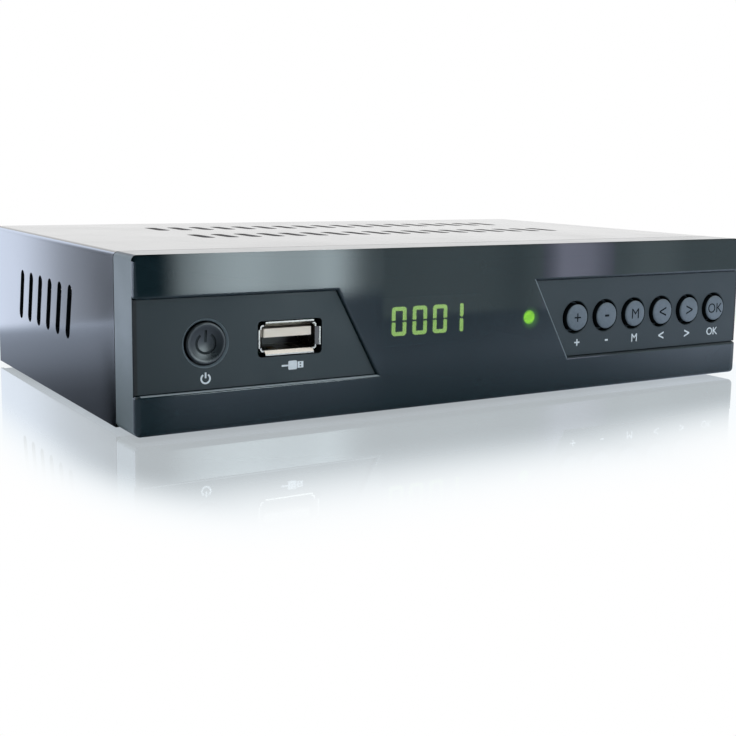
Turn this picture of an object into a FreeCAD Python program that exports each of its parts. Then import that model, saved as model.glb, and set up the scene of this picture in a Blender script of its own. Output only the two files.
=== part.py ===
import FreeCAD, Part
import math
import os

# A small satellite television receiver, made as the pieces that it comes apart into.
# Millimetres. X runs from the left side to the right, Y from the front plate to the rear
# connectors, and Z up from the surface that the rubber feet stand on.
# While a piece is built, Y = 0 is the face of the front plate. export() then moves every
# piece so that the origin is the middle of the whole receiver's base.

# ---- Case ----
CASE_WIDTH = 168.0
CASE_HEIGHT = 36.0
CASE_DEPTH = 104.0  # front plate to the outside of the rear panel
COVER_SHEET = 0.8
CHASSIS_SHEET = 0.8
CORNER_RADIUS = 1.2  # outside radius of the long edges of the case and of the sheet's bends
FOOT_HEIGHT = 1.0
FOOT_RADIUS = 5.0
FOOT_INSET_X = 13.0  # from a side of the case to a foot's centre
FOOT_INSET_Y = 11.0  # from an end of the chassis to a foot's centre

# ---- Chassis and cover ----
SIDE_FLANGE_HEIGHT = 10.0
FLANGE_SETBACK = 4.0  # from an end of the chassis floor to the end of its side flange
COVER_LIP = 9.0  # width of the cover's rear lips, which its screws hold
COVER_LIP_HEIGHT = 20.0
TOP_FLANGE = 5.0  # fold along the top of the rear panel
SLOT_WIDTH = 3.1
SLOT_LENGTH = 12.6
SIDE_SLOT_COUNT = 6
SIDE_SLOT_PITCH = 7.66
SIDE_SLOT_FIRST = 42.2  # front face to the first side slot's centre
SIDE_SLOT_HEIGHT = 20.3
SIDE_SLOT_LEAN = 13.8  # degrees, the tops leaning to the front
TOP_SLOT_COUNT = 18
TOP_SLOT_PITCH = 6.18
TOP_SLOT_SHARE = 0.208929  # of the case's width, from the left to the first top slot's centre
TOP_SLOT_ROWS = (50.2, 79.2)  # front face to the centre of each row
FLOOR_SLOT_COUNT = 9
FLOOR_SLOT_PITCH = 9.0
FLOOR_SLOT_ROWS = (44.0, 70.0)

# ---- Front bezel ----
BEZEL_DEPTH = 11.7
BEZEL_WALL = 2.0
FACE_WALL = 2.0
SEAM_GAP = 0.3
RIM_LENGTH = 2.2
RIM_CLEARANCE = 0.1
HOOK_WIDTH = 6.0
HOOK_THICKNESS = 1.2
HOOK_REACH = 7.0
HOOK_BARB = 1.4
HOOK_DROP = 0.72  # how far the barb reaches into the chassis floor
HOOK_SPACING = 58.0
HOOK_PLAY = 0.2

# ---- Front plate and the two control zones ----
WINDOW_THICKNESS = 1.6
WINDOW_END_RADIUS = 1.2
WINDOW_EDGE_RADIUS = 0.6
ZONE_RECESS = 0.9
ZONE_TOP = 27.4  # heights above the underside of the case
ZONE_BOTTOM = 8.4
ZONE_GAP = 0.12
LEFT_ZONE_TOP_SHARE = 0.267857  # lengths from the side of the case, as shares of its width
LEFT_ZONE_BOTTOM_SHARE = 0.328571
RIGHT_ZONE_TOP_SHARE = 0.410714
RIGHT_ZONE_BOTTOM_SHARE = 0.35
WINDOW_PIN_RADIUS = 1.0
WINDOW_PIN_LENGTH = 2.6
WINDOW_PIN_INSET = 4.2

# ---- Controls ----
CONTROL_HEIGHT = 17.9
KEY_TRAVEL = 0.35
POWER_SHARE = 0.089881  # the controls' places, as shares of the case's width from the left
POWER_RADIUS = 4.3
POWER_GAP = 0.3
POWER_PROUD = 0.35
POWER_EDGE = 0.3
POWER_DISH = 0.6
POWER_CHAMFER = 0.45
LAST_KEY_SHARE = 0.948512
KEY_PITCH_SHARE = 0.056429
KEY_RADIUS = 3.25
KEY_GAP = 0.65
KEY_PROUD = 0.85
KEY_EDGE = 0.45
KEY_CHAMFER = 0.2
FLANGE_OVERLAP = 0.35  # how far a button's flange reaches past its hole
FLANGE_THICKNESS = 1.2
FLANGE_CLEARANCE = 0.1
GUIDE_CLEARANCE = 0.25
GUIDE_WALL = 1.0
GUIDE_DEPTH = 3.4
STEM_RADIUS = 1.5
STEM_RIB = 0.9
STEM_RIB_REACH = 2.5

# ---- Front board and what it carries ----
FRONT_BOARD_DEPTH = 14.0  # front face to the board's face
BOARD_THICKNESS = 1.6
FRONT_BOARD_MARGIN = 3.4
FRONT_BOARD_SIDE_MARGIN = 3.6
BOSS_RADIUS = 2.4
BOSS_INSET_X = 6.6
BOSS_INSET_Z = 6.4
FRONT_SCREW_RADIUS = 1.0
FRONT_SCREW_LENGTH = 6.0
SWITCH_SIDE = 6.0
SWITCH_BODY_HEIGHT = 3.5
SWITCH_HEIGHT = 5.0
SWITCH_CORNER = 0.5
PLUNGER_RADIUS = 1.75
PLUNGER_CLEARANCE = 0.1
PLUNGER_ROOT = 0.5  # how far the plunger reaches into the switch at rest
USB_SHARE = 0.202976
USB_WIDTH = 13.1
USB_HEIGHT = 5.7
USB_SHEET = 0.3
USB_FLARE = 0.7
USB_SETBACK = 0.1  # from the floor of the control zone to the lips
USB_OPENING_PLAY = 0.25
USB_CORNER = 0.9
USB_TONGUE_WIDTH = 11.1
USB_TONGUE_THICKNESS = 1.84
USB_TONGUE_GAP = 0.6
USB_TONGUE_SETBACK = 1.2
USB_BLOCK_DEPTH = 4.0
USB_SPRING_WIDTH = 1.7
USB_SPRING_LENGTH = 5.6
USB_SPRING_ROOT = 7.6  # from the lips to the springs' roots
USB_SPRING_DIP = 0.35  # how far a spring bends into the socket
USB_SPRING_TIP = 0.6  # share of its length at which a spring dips the most
USB_SPRING_GAP = 0.25
USB_SPRING_PLACES = (-3.1, 3.1)  # from the socket's middle to a spring's
USB_CONTACT_WIDTH = 1.0
USB_CONTACT_THICKNESS = 0.15
USB_CONTACT_POSITIONS = (-3.5, -1.0, 1.0, 3.5)
DISPLAY_SHARE = 0.418452
DISPLAY_HEIGHT_UP = 19.5
DISPLAY_WIDTH = 26.6
DISPLAY_HEIGHT = 10.4
DISPLAY_THICKNESS = 8.0
DISPLAY_BEHIND_WINDOW = 1.0
DISPLAY_PLAY = 0.3
DISPLAY_PIN = 0.5
DISPLAY_PIN_PITCH = 4.0
DIGIT_COUNT = 4
DIGIT_PITCH = 5.51
DIGIT_WIDTH = 3.75
DIGIT_HEIGHT = 6.5
SEGMENT_WIDTH = 0.86
SEGMENT_GAP = 0.12
SEGMENT_THICKNESS = 0.2
LED_SHARE = 0.583929
LED_HEIGHT_UP = 18.6
LED_RADIUS = 1.5
LED_LENGTH = 4.4
LIGHT_PIPE_RADIUS = 1.7
LIGHT_PIPE_FLANGE = 0.6
LIGHT_PIPE_GAP = 0.3
EYE_SHARE = 0.532143
EYE_WIDTH = 5.0
EYE_HEIGHT = 6.6
EYE_DEPTH = 2.6
EYE_LENS_RADIUS = 2.2
EYE_TUBE_GAP = 0.3  # from the tube's end to the lens
LINK_PINS = 10
LINK_PITCH = 2.54
LINK_PIN = 0.64
LINK_SHARE = 0.595238  # of the case's width, from the left to the first pin
LINK_PROUD = 1.0

# ---- Main board and what it carries ----
POST_HEIGHT = 5.0
POST_RADIUS = 3.2
MAIN_SCREW_RADIUS = 1.3
MAIN_SCREW_LENGTH = 5.2
MAIN_BOARD_SETBACK = 19.4  # front face to the board's front edge
MAIN_BOARD_REAR_GAP = 1.6
MAIN_BOARD_SIDE_GAP = 6.4
MAIN_HOLE_INSET = 4.6
MAIN_REAR_HOLE_INSET = 18.0
TUNER_SHARE = 0.8036  # the rear connectors' places, as shares of the case's width from the left
TUNER_WIDTH = 38.0
TUNER_DEPTH = 40.0
TUNER_HEIGHT = 13.5
TUNER_WALL = 0.6
F_SPACING = 20.0
F_THREAD_RADIUS = 4.76
F_REACH = 11.0  # rear panel to the socket's mouth
F_HEX = 11.0
F_HEX_THICKNESS = 2.0
F_BORE_RADIUS = 3.7
F_CONTACT_RADIUS = 0.8
F_INSULATOR_FLOOR = 1.0
PANEL_HOLE_PLAY = 0.4
HDMI_SHARE = 0.583
HDMI_WIDTH = 14.6
HDMI_HEIGHT = 5.2
HDMI_BEVEL = 1.5
HDMI_SHEET = 0.3
HDMI_DEPTH = 11.5
HDMI_BLOCK_DEPTH = 3.0
HDMI_TONGUE_SETBACK = 1.0
HDMI_TONGUE_WIDTH = 11.4
HDMI_TONGUE_THICKNESS = 1.4
SCART_SHARE = 0.357
SCART_WIDTH = 46.0
SCART_HEIGHT = 13.4
SCART_DEPTH = 17.0
SCART_PROUD = 1.6
SCART_BEVEL = 4.0
SCART_RIM = 1.4
SCART_GROOVE = 1.2
SCART_GROOVE_DEPTH = 9.0
SCART_CONTACTS_PER_ROW = 10
SCART_CONTACT_PITCH = 3.81
SCART_ROW_SPACING = 4.6
SCART_SLOT = (1.5, 3.4)
SCART_BLADE = 0.5
RCA_SHARE = 0.1667
RCA_BODY_WIDTH = 10.0
RCA_BODY_HEIGHT = 12.5
RCA_BODY_DEPTH = 10.0
RCA_RADIUS = 4.15
RCA_NECK_RADIUS = 4.8  # the sleeve's shoulder, which fills the hole of the rear panel
RCA_REACH = 9.0
RCA_SHELL_WALL = 0.5
RCA_CORE_RADIUS = 2.6
RCA_CORE_BORE = 1.6
RCA_DISC = 1.0  # thickness of the insulator outside the panel
RCA_CORE_SETBACK = 1.0  # from the sleeve's mouth to the core's
DC_SHARE = 0.0923
DC_WIDTH = 9.0
DC_HEIGHT = 11.0
DC_DEPTH = 14.2
DC_PROUD = 0.6
DC_CORNER = 0.5
DC_BORE_RADIUS = 3.15
DC_BORE_DEPTH = 10.0
DC_PIN_RADIUS = 1.0
DC_PIN_SETBACK = 1.0
SCREW_RADIUS = 1.5
SCREW_HEAD_RADIUS = 2.8
SCREW_HEAD_HEIGHT = 1.8
SCREW_LENGTH = 6.0
PROCESSOR_SIZE = (19.0, 19.0, 1.4)  # chips: width, depth and height
PROCESSOR_SHARE = 0.464286  # places on the board, as shares of the case's width from the left
PROCESSOR_SETBACK = 52.0  # front face to the chip's centre
HEATSINK_SIDE = 22.0
HEATSINK_BASE = 2.0
HEATSINK_HEIGHT = 9.0
HEATSINK_FINS = 7
HEATSINK_FIN = 1.0
MEMORY_SIZE = (8.0, 13.5, 1.2)
MEMORY_SHARE = 0.583333
FLASH_SIZE = (5.3, 5.3, 1.9)
FLASH_SHARE = 0.345238
INDUCTOR_SIDE = 7.3
INDUCTOR_HEIGHT = 4.0
INDUCTOR_SHARE = 0.238095
INDUCTOR_PITCH = 14.0
INDUCTOR_SETBACK = 72.0
CRYSTAL_LENGTH = 11.0
CRYSTAL_WIDTH = 4.6
CRYSTAL_HEIGHT = 3.5
CRYSTAL_SHARE = 0.583333
CRYSTAL_SETBACK = 72.0
CAPACITOR_TALL = (4.0, 11.5)  # radius and height
CAPACITOR_SHORT = (3.15, 7.0)
CAPACITOR_LEFT_SHARES = (0.1310, 0.1964)
CAPACITOR_RIGHT_SHARES = (0.7381, 0.8214)
CAPACITOR_TALL_SETBACK = 42.0  # front face to the cans' centres
CAPACITOR_SHORT_SETBACK = 60.0
CAPACITOR_RIGHT_SETBACK = 44.0
CAPACITOR_EDGE = 0.4

# ---- Worked out from the sizes above ----
V = FreeCAD.Vector
PAST = 1.0  # how far a cutting form runs past the faces that it cuts
HALF = CASE_WIDTH / 2
BASE = FOOT_HEIGHT
TOP = BASE + CASE_HEIGHT
FLOOR_TOP = BASE + CHASSIS_SHEET
FACE_BACK = WINDOW_THICKNESS + FACE_WALL
COVER_FRONT = BEZEL_DEPTH + SEAM_GAP
PANEL_INNER = CASE_DEPTH - CHASSIS_SHEET
OVERALL_LENGTH = CASE_DEPTH + F_REACH
CONTROL_Z = BASE + CONTROL_HEIGHT


def x_at(share):
    """The X at a share of the case's width from its left side."""
    return share * CASE_WIDTH - HALF


POWER_X = x_at(POWER_SHARE)
USB_X = x_at(USB_SHARE)
DISPLAY_X = x_at(DISPLAY_SHARE)
LED_X = x_at(LED_SHARE)
EYE_X = x_at(EYE_SHARE)
LAST_KEY_X = x_at(LAST_KEY_SHARE)
KEY_PITCH = KEY_PITCH_SHARE * CASE_WIDTH
KEY_NAMES = ("plus", "minus", "menu", "left", "right", "ok")
KEY_XS = [LAST_KEY_X - KEY_PITCH * (len(KEY_NAMES) - 1 - i) for i in range(len(KEY_NAMES))]
KEY_HOLE = KEY_RADIUS + KEY_GAP
POWER_HOLE = POWER_RADIUS + POWER_GAP
KEY_GUIDE = KEY_HOLE + FLANGE_OVERLAP + GUIDE_CLEARANCE
POWER_GUIDE = POWER_HOLE + FLANGE_OVERLAP + GUIDE_CLEARANCE
BOARD_BACK = FRONT_BOARD_DEPTH + BOARD_THICKNESS
MAIN_BOTTOM = FLOOR_TOP + POST_HEIGHT
MAIN_TOP = MAIN_BOTTOM + BOARD_THICKNESS
MAIN_REAR = PANEL_INNER - MAIN_BOARD_REAR_GAP
MAIN_HALF = HALF - MAIN_BOARD_SIDE_GAP
TUNER_X = x_at(TUNER_SHARE)
HDMI_X = x_at(HDMI_SHARE)
SCART_X = x_at(SCART_SHARE)
RCA_X = x_at(RCA_SHARE)
DC_X = x_at(DC_SHARE)
RCA_Z = MAIN_TOP + RCA_BODY_HEIGHT / 2
DC_Z = MAIN_TOP + DC_HEIGHT / 2
F_Z = MAIN_TOP + TUNER_HEIGHT / 2
SCART_Z = MAIN_TOP + SCART_HEIGHT / 2
HDMI_Z = MAIN_TOP + HDMI_HEIGHT / 2
BEVEL_STEP = 2 - math.sqrt(2)  # growth of a 45 degree bevel per unit of even offset


# ---- Plain forms ----
def box(x, y, z):
    """A block between pairs of X, Y and Z."""
    return Part.makeBox(x[1] - x[0], y[1] - y[0], z[1] - z[0], V(x[0], y[0], z[0]))


def rod(radius, x, z, y):
    """A cylinder along Y between a pair of Y."""
    return Part.makeCylinder(radius, y[1] - y[0], V(x, y[0], z), V(0, 1, 0))


def post(radius, x, y, z):
    """A cylinder along Z between a pair of Z."""
    return Part.makeCylinder(radius, z[1] - z[0], V(x, y, z[0]))


def prism(outline, y):
    """An X-Z outline carried along Y between a pair of Y."""
    points = [V(px, y[0], pz) for px, pz in outline]
    return Part.Face(Part.makePolygon(points + points[:1])).extrude(V(0, y[1] - y[0], 0))


def spun(profile, x, z):
    """A profile of (radius, y) points turned about the line along Y through x and z."""
    points = [V(x + r, y, z) for r, y in profile]
    face = Part.Face(Part.makePolygon(points + points[:1]))
    return face.revolve(V(x, 0, z), V(0, 1, 0), 360)


def slot(centre, along, across, length, width, depth):
    """A round-ended slot about centre, cut to depth on both sides of its plane."""
    along, across = V(along).normalize(), V(across).normalize()
    normal = along.cross(across)
    start = V(centre) - normal * depth
    run, half = along * (length / 2 - width / 2), across * (width / 2)
    cap = along * (width / 2)
    a, b, c, d = start - run - half, start + run - half, start + run + half, start - run + half
    edges = [
        Part.LineSegment(a, b).toShape(),
        Part.Arc(b, start + run + cap, c).toShape(),
        Part.LineSegment(c, d).toShape(),
        Part.Arc(d, start - run - cap, a).toShape(),
    ]
    return Part.Face(Part.Wire(edges)).extrude(normal * (2 * depth))


def is_along(edge, axis):
    """Whether a straight edge runs along an axis."""
    if not isinstance(edge.Curve, (Part.Line, Part.LineSegment)):
        return False
    return edge.tangentAt(edge.FirstParameter).cross(V(axis)).Length < 1e-6


def rounded(shape, radius, axis, keep=lambda middle: True):
    """The shape with its edges along an axis rounded, where keep accepts an edge's middle."""
    edges = [e for e in shape.Edges if is_along(e, axis) and keep(e.CenterOfMass)]
    return shape.makeFillet(radius, edges)


def is_at(middle, y, z):
    """Whether an edge's middle lies on the line along X through y and z."""
    return abs(middle.y - y) < 1e-6 and abs(middle.z - z) < 1e-6


def is_upper(middle):
    """Whether an edge's middle lies in the upper half of the case."""
    return middle.z > BASE + CASE_HEIGHT / 2


def rounded_tube(width, height, radius, x, z, y):
    """A block along Y, centred on x and z, with rounded long edges."""
    body = box((x - width / 2, x + width / 2), y, (z - height / 2, z + height / 2))
    return rounded(body, radius, (0, 1, 0))


def hexagon(across_flats, x, z):
    """The corners of a hexagon about x and z, flat at the top."""
    reach = across_flats / math.sqrt(3)
    turns = [math.radians(60 * i) for i in range(6)]
    return [(x + reach * math.cos(t), z + reach * math.sin(t)) for t in turns]


def joined(shapes):
    """The shapes fused into one clean solid."""
    return shapes[0].fuse(shapes[1:]).removeSplitter() if len(shapes) > 1 else shapes[0]


# ---- Case ----
def vent_slots():
    """The slots of the cover: leaning ones in both sides and two straight rows on top."""
    cuts = []
    lean = math.radians(SIDE_SLOT_LEAN)
    along = (0, -math.sin(lean), math.cos(lean))
    across = (0, math.cos(lean), math.sin(lean))
    for side in (-HALF, HALF):
        for i in range(SIDE_SLOT_COUNT):
            centre = (side, SIDE_SLOT_FIRST + i * SIDE_SLOT_PITCH, BASE + SIDE_SLOT_HEIGHT)
            cuts.append(slot(centre, along, across, SLOT_LENGTH, SLOT_WIDTH, 2 * COVER_SHEET))
    for row in TOP_SLOT_ROWS:
        for i in range(TOP_SLOT_COUNT):
            centre = (x_at(TOP_SLOT_SHARE) + i * TOP_SLOT_PITCH, row, TOP)
            cuts.append(slot(centre, (0, 1, 0), (1, 0, 0), SLOT_LENGTH, SLOT_WIDTH, 2 * COVER_SHEET))
    return cuts


def cover_screw_places():
    """The X and Z of the screws that hold the cover's rear lips."""
    side = HALF - COVER_SHEET - COVER_LIP / 2
    lip_z = BASE + CASE_HEIGHT / 2
    return [(-side, lip_z), (side, lip_z)]


def make_top_cover():
    """Folded steel top and sides, with two rear lips that its screws pull to the rear panel."""
    y = (COVER_FRONT, CASE_DEPTH)
    outer = rounded(box((-HALF, HALF), y, (BASE, TOP)), CORNER_RADIUS, (0, 1, 0), is_upper)
    inner_half = HALF - COVER_SHEET
    inner = box((-inner_half, inner_half), (y[0] - PAST, y[1] + PAST), (BASE - PAST, TOP - COVER_SHEET))
    cover = outer.cut(rounded(inner, CORNER_RADIUS - COVER_SHEET, (0, 1, 0), is_upper))
    lip_y = (PANEL_INNER - COVER_SHEET, PANEL_INNER)
    half_lip, half_rise = COVER_LIP / 2, COVER_LIP_HEIGHT / 2
    lips = []
    for x, z in cover_screw_places():
        lip = box((x - half_lip, x + half_lip), lip_y, (z - half_rise, z + half_rise))
        lips.append(lip.cut(rod(SCREW_RADIUS, x, z, (lip_y[0] - PAST, lip_y[1] + PAST))))
    return joined([cover] + lips).cut(vent_slots())


def main_screw_places():
    """The X and Y of the main board's four screws."""
    x = MAIN_HALF - MAIN_HOLE_INSET
    front, rear = MAIN_BOARD_SETBACK + MAIN_HOLE_INSET, MAIN_REAR - MAIN_REAR_HOLE_INSET
    return [(-x, front), (x, front), (-x, rear), (x, rear)]


def hook_places():
    """The X of the bezel's hooks."""
    return [-HOOK_SPACING, 0.0, HOOK_SPACING]


def hook_slot_y():
    """The Y span of a hook's barb."""
    end = BEZEL_DEPTH + RIM_LENGTH + HOOK_REACH
    return end - HOOK_BARB, end


def panel_cuts():
    """The openings of the rear panel, each the size of its connector and a named play."""
    y = (PANEL_INNER - PAST, CASE_DEPTH + PAST)
    play = PANEL_HOLE_PLAY
    cuts = [rod(F_THREAD_RADIUS + play, x, F_Z, y) for x in f_places()]
    cuts.append(rod(RCA_NECK_RADIUS + play / 2, RCA_X, RCA_Z, y))
    cuts.append(rounded_tube(DC_WIDTH + play, DC_HEIGHT + play, DC_CORNER, DC_X, DC_Z, y))
    cuts.append(prism(hdmi_outline(play / 2), y))
    cuts.append(prism(scart_outline(play / 2), y))
    cuts += [rod(SCREW_RADIUS, x, z, y) for x, z in cover_screw_places()]
    return cuts


def make_bottom_chassis():
    """Folded steel tray: floor, side flanges, rear panel and the pressed posts under the board."""
    half = HALF - COVER_SHEET
    panel_top = TOP - COVER_SHEET
    floor = box((-half, half), (COVER_FRONT, CASE_DEPTH), (BASE, FLOOR_TOP))
    panel = box((-half, half), (PANEL_INNER, CASE_DEPTH), (BASE, panel_top))
    panel = rounded(panel, CORNER_RADIUS, (0, 1, 0), is_upper)
    top_fold = box(
        (-half + COVER_LIP, half - COVER_LIP),
        (PANEL_INNER - TOP_FLANGE, CASE_DEPTH),
        (panel_top - CHASSIS_SHEET, panel_top),
    )
    flange_y = (COVER_FRONT + FLANGE_SETBACK, PANEL_INNER - FLANGE_SETBACK)
    flange_z = (BASE, FLOOR_TOP + SIDE_FLANGE_HEIGHT)
    flanges = [
        box((-half, -half + CHASSIS_SHEET), flange_y, flange_z),
        box((half - CHASSIS_SHEET, half), flange_y, flange_z),
    ]
    tray = joined([floor, panel, top_fold] + flanges)
    tray = rounded(tray, CORNER_RADIUS, (1, 0, 0), lambda middle: is_at(middle, CASE_DEPTH, BASE))
    inner_bend = CORNER_RADIUS - CHASSIS_SHEET
    tray = rounded(tray, inner_bend, (1, 0, 0), lambda middle: is_at(middle, PANEL_INNER, FLOOR_TOP))
    posts = [post(POST_RADIUS, x, y, (FLOOR_TOP, MAIN_BOTTOM)) for x, y in main_screw_places()]
    holes = [post(MAIN_SCREW_RADIUS, x, y, (BASE - PAST, MAIN_BOTTOM + PAST)) for x, y in main_screw_places()]
    barb_y = hook_slot_y()
    for x in hook_places():
        reach = HOOK_WIDTH / 2 + HOOK_PLAY
        slot_y = (barb_y[0] - HOOK_PLAY, barb_y[1] + HOOK_PLAY)
        holes.append(box((x - reach, x + reach), slot_y, (BASE - PAST, FLOOR_TOP)))
    row_start = -FLOOR_SLOT_PITCH * (FLOOR_SLOT_COUNT - 1) / 2
    for row in FLOOR_SLOT_ROWS:
        for i in range(FLOOR_SLOT_COUNT):
            centre = (row_start + i * FLOOR_SLOT_PITCH, row, BASE)
            holes.append(slot(centre, (0, 1, 0), (1, 0, 0), SLOT_LENGTH, SLOT_WIDTH, 2 * CHASSIS_SHEET))
    return joined([tray] + posts).cut(holes + panel_cuts())


def make_rubber_feet():
    """Four round adhesive pads under the chassis."""
    feet = []
    for x in (-HALF + FOOT_INSET_X, HALF - FOOT_INSET_X):
        for y in (COVER_FRONT + FOOT_INSET_Y, CASE_DEPTH - FOOT_INSET_Y):
            foot = post(FOOT_RADIUS, x, y, (0, FOOT_HEIGHT))
            lower = [e for e in foot.Edges if e.CenterOfMass.z < FOOT_HEIGHT / 4 and e.Closed]
            feet.append(foot.makeFillet(FOOT_HEIGHT / 3, lower))
    return Part.Compound(feet)


# ---- Front bezel and plate ----
def zone_outline(side, margin):
    """A control zone's four corners, drawn in by margin from the plate's notch."""
    top_length = CASE_WIDTH * (LEFT_ZONE_TOP_SHARE if side < 0 else RIGHT_ZONE_TOP_SHARE)
    bottom_length = CASE_WIDTH * (LEFT_ZONE_BOTTOM_SHARE if side < 0 else RIGHT_ZONE_BOTTOM_SHARE)
    rise = ZONE_TOP - ZONE_BOTTOM
    run = bottom_length - top_length
    slant = run / rise
    inset = margin * math.hypot(rise, run) / rise
    top_z, bottom_z = ZONE_TOP - margin, ZONE_BOTTOM + margin
    top_x = HALF - top_length + inset - slant * margin
    bottom_x = HALF - bottom_length + inset + slant * margin
    far = HALF if margin > 0 else HALF + PAST
    return [
        (side * far, BASE + top_z),
        (side * top_x, BASE + top_z),
        (side * bottom_x, BASE + bottom_z),
        (side * far, BASE + bottom_z),
    ]


def window_pin_places():
    """The X and Z of the pins that hold the plate to the bezel."""
    z_low, z_high = BASE + WINDOW_PIN_INSET, TOP - WINDOW_PIN_INSET
    x = HALF - 2 * WINDOW_PIN_INSET
    return [(-x, z_low), (x, z_low), (-x, z_high), (x, z_high), (0.0, z_low), (0.0, z_high)]


def make_front_window():
    """Smoked plate over the whole front, notched at both ends round the control zones."""
    plate = box((-HALF, HALF), (0, WINDOW_THICKNESS), (BASE, TOP))
    plate = rounded(plate, CORNER_RADIUS, (0, 1, 0))
    plate = rounded(plate, WINDOW_END_RADIUS, (0, 0, 1), lambda middle: middle.y < WINDOW_THICKNESS / 2)
    notches = [prism(zone_outline(side, 0), (-PAST, WINDOW_THICKNESS + PAST)) for side in (-1, 1)]
    plate = plate.cut(notches)
    inner = HALF - WINDOW_END_RADIUS - WINDOW_EDGE_RADIUS
    on_face = [e for e in plate.Edges if abs(e.CenterOfMass.y) < 1e-6]
    plate = plate.makeFillet(WINDOW_EDGE_RADIUS, [e for e in on_face if abs(e.CenterOfMass.x) < inner])
    pin_y = (WINDOW_THICKNESS, WINDOW_THICKNESS + WINDOW_PIN_LENGTH)
    return joined([plate] + [rod(WINDOW_PIN_RADIUS, x, z, pin_y) for x, z in window_pin_places()])


def boss_places():
    """The X and Z of the bosses that carry the front board."""
    x = HALF - BOSS_INSET_X
    low, high = BASE + BOSS_INSET_Z, TOP - BOSS_INSET_Z
    return [(-x, low), (x, low), (-x, high), (x, high)]


def chamfered_hole(radius, chamfer, x, z):
    """A hole through a control zone, widened by a chamfer at its mouth."""
    far = FACE_BACK + PAST
    mouth = ZONE_RECESS
    profile = [
        (0, mouth - PAST), (radius + chamfer, mouth - PAST), (radius + chamfer, mouth),
        (radius, mouth + chamfer), (radius, far), (0, far),
    ]
    return spun(profile, x, z)


def make_front_bezel():
    """Moulded frame: face wall, four side walls, rear rim, button guides, board bosses and hooks."""
    shell = box((-HALF, HALF), (WINDOW_THICKNESS, BEZEL_DEPTH), (BASE, TOP))
    shell = rounded(shell, CORNER_RADIUS, (0, 1, 0))
    rim_drop = COVER_SHEET + RIM_CLEARANCE
    rim_bottom = BASE + CHASSIS_SHEET + RIM_CLEARANCE
    rim_end = BEZEL_DEPTH + RIM_LENGTH
    rim = box((-HALF + rim_drop, HALF - rim_drop), (FACE_BACK, rim_end), (rim_bottom, TOP - rim_drop))
    rim = rounded(rim, CORNER_RADIUS - COVER_SHEET, (0, 1, 0))
    pads = [prism(zone_outline(side, ZONE_GAP), (ZONE_RECESS, FACE_BACK)) for side in (-1, 1)]
    body = joined([shell, rim] + pads)
    inner = HALF - BEZEL_WALL
    hollow = box((-inner, inner), (FACE_BACK, rim_end + PAST), (BASE + BEZEL_WALL, TOP - BEZEL_WALL))
    body = body.cut(hollow)

    guide_y = (FACE_BACK, FACE_BACK + GUIDE_DEPTH)
    key_reach = KEY_GUIDE + GUIDE_WALL
    key_block = box(
        (KEY_XS[0] - key_reach, min(KEY_XS[-1] + key_reach, inner)), guide_y,
        (CONTROL_Z - key_reach, CONTROL_Z + key_reach),
    )
    added = [rounded(key_block, GUIDE_WALL, (0, 1, 0))]
    added.append(rod(POWER_GUIDE + GUIDE_WALL, POWER_X, CONTROL_Z, guide_y))
    added += [rod(BOSS_RADIUS, x, z, (FACE_BACK, FRONT_BOARD_DEPTH)) for x, z in boss_places()]
    added.append(rod(LIGHT_PIPE_RADIUS + GUIDE_WALL, LED_X, BASE + LED_HEIGHT_UP, guide_y))
    eye_tube_end = FRONT_BOARD_DEPTH - EYE_DEPTH - EYE_LENS_RADIUS - EYE_TUBE_GAP
    eye_hole = EYE_LENS_RADIUS + DISPLAY_PLAY
    added.append(rod(eye_hole + GUIDE_WALL, EYE_X, BASE + DISPLAY_HEIGHT_UP, (FACE_BACK, eye_tube_end)))
    barb_y = hook_slot_y()
    for x in hook_places():
        sides = (x - HOOK_WIDTH / 2, x + HOOK_WIDTH / 2)
        added.append(box(sides, (rim_end, barb_y[1]), (rim_bottom, rim_bottom + HOOK_THICKNESS)))
        added.append(hook_barb(sides, barb_y, rim_bottom))
    body = joined([body] + added)

    cuts = [rod(KEY_GUIDE, x, CONTROL_Z, (FACE_BACK, guide_y[1] + PAST)) for x in KEY_XS]
    cuts += [chamfered_hole(KEY_HOLE, KEY_CHAMFER, x, CONTROL_Z) for x in KEY_XS]
    cuts.append(rod(POWER_GUIDE, POWER_X, CONTROL_Z, (FACE_BACK, guide_y[1] + PAST)))
    cuts.append(chamfered_hole(POWER_HOLE, POWER_CHAMFER, POWER_X, CONTROL_Z))
    face_y = (0, FACE_BACK + PAST)
    usb_reach = 2 * (USB_FLARE + USB_OPENING_PLAY)
    usb_size = (USB_WIDTH + usb_reach, USB_HEIGHT + usb_reach)
    cuts.append(rounded_tube(*usb_size, USB_CORNER, USB_X, CONTROL_Z, face_y))
    display_z = BASE + DISPLAY_HEIGHT_UP
    display_size = (DISPLAY_WIDTH + 2 * DISPLAY_PLAY, DISPLAY_HEIGHT + 2 * DISPLAY_PLAY)
    cuts.append(rounded_tube(*display_size, DISPLAY_PLAY, DISPLAY_X, display_z, face_y))
    cuts.append(rod(eye_hole, EYE_X, display_z, (0, eye_tube_end + PAST)))
    cuts.append(rod(LIGHT_PIPE_RADIUS, LED_X, BASE + LED_HEIGHT_UP, (0, guide_y[1] + PAST)))
    pin_y = (0, WINDOW_THICKNESS + WINDOW_PIN_LENGTH + PAST)
    cuts += [rod(WINDOW_PIN_RADIUS, x, z, pin_y) for x, z in window_pin_places()]
    pilot_y = (FRONT_BOARD_DEPTH - FRONT_SCREW_LENGTH, FRONT_BOARD_DEPTH + PAST)
    cuts += [rod(FRONT_SCREW_RADIUS, x, z, pilot_y) for x, z in boss_places()]
    return body.cut(cuts)


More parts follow.
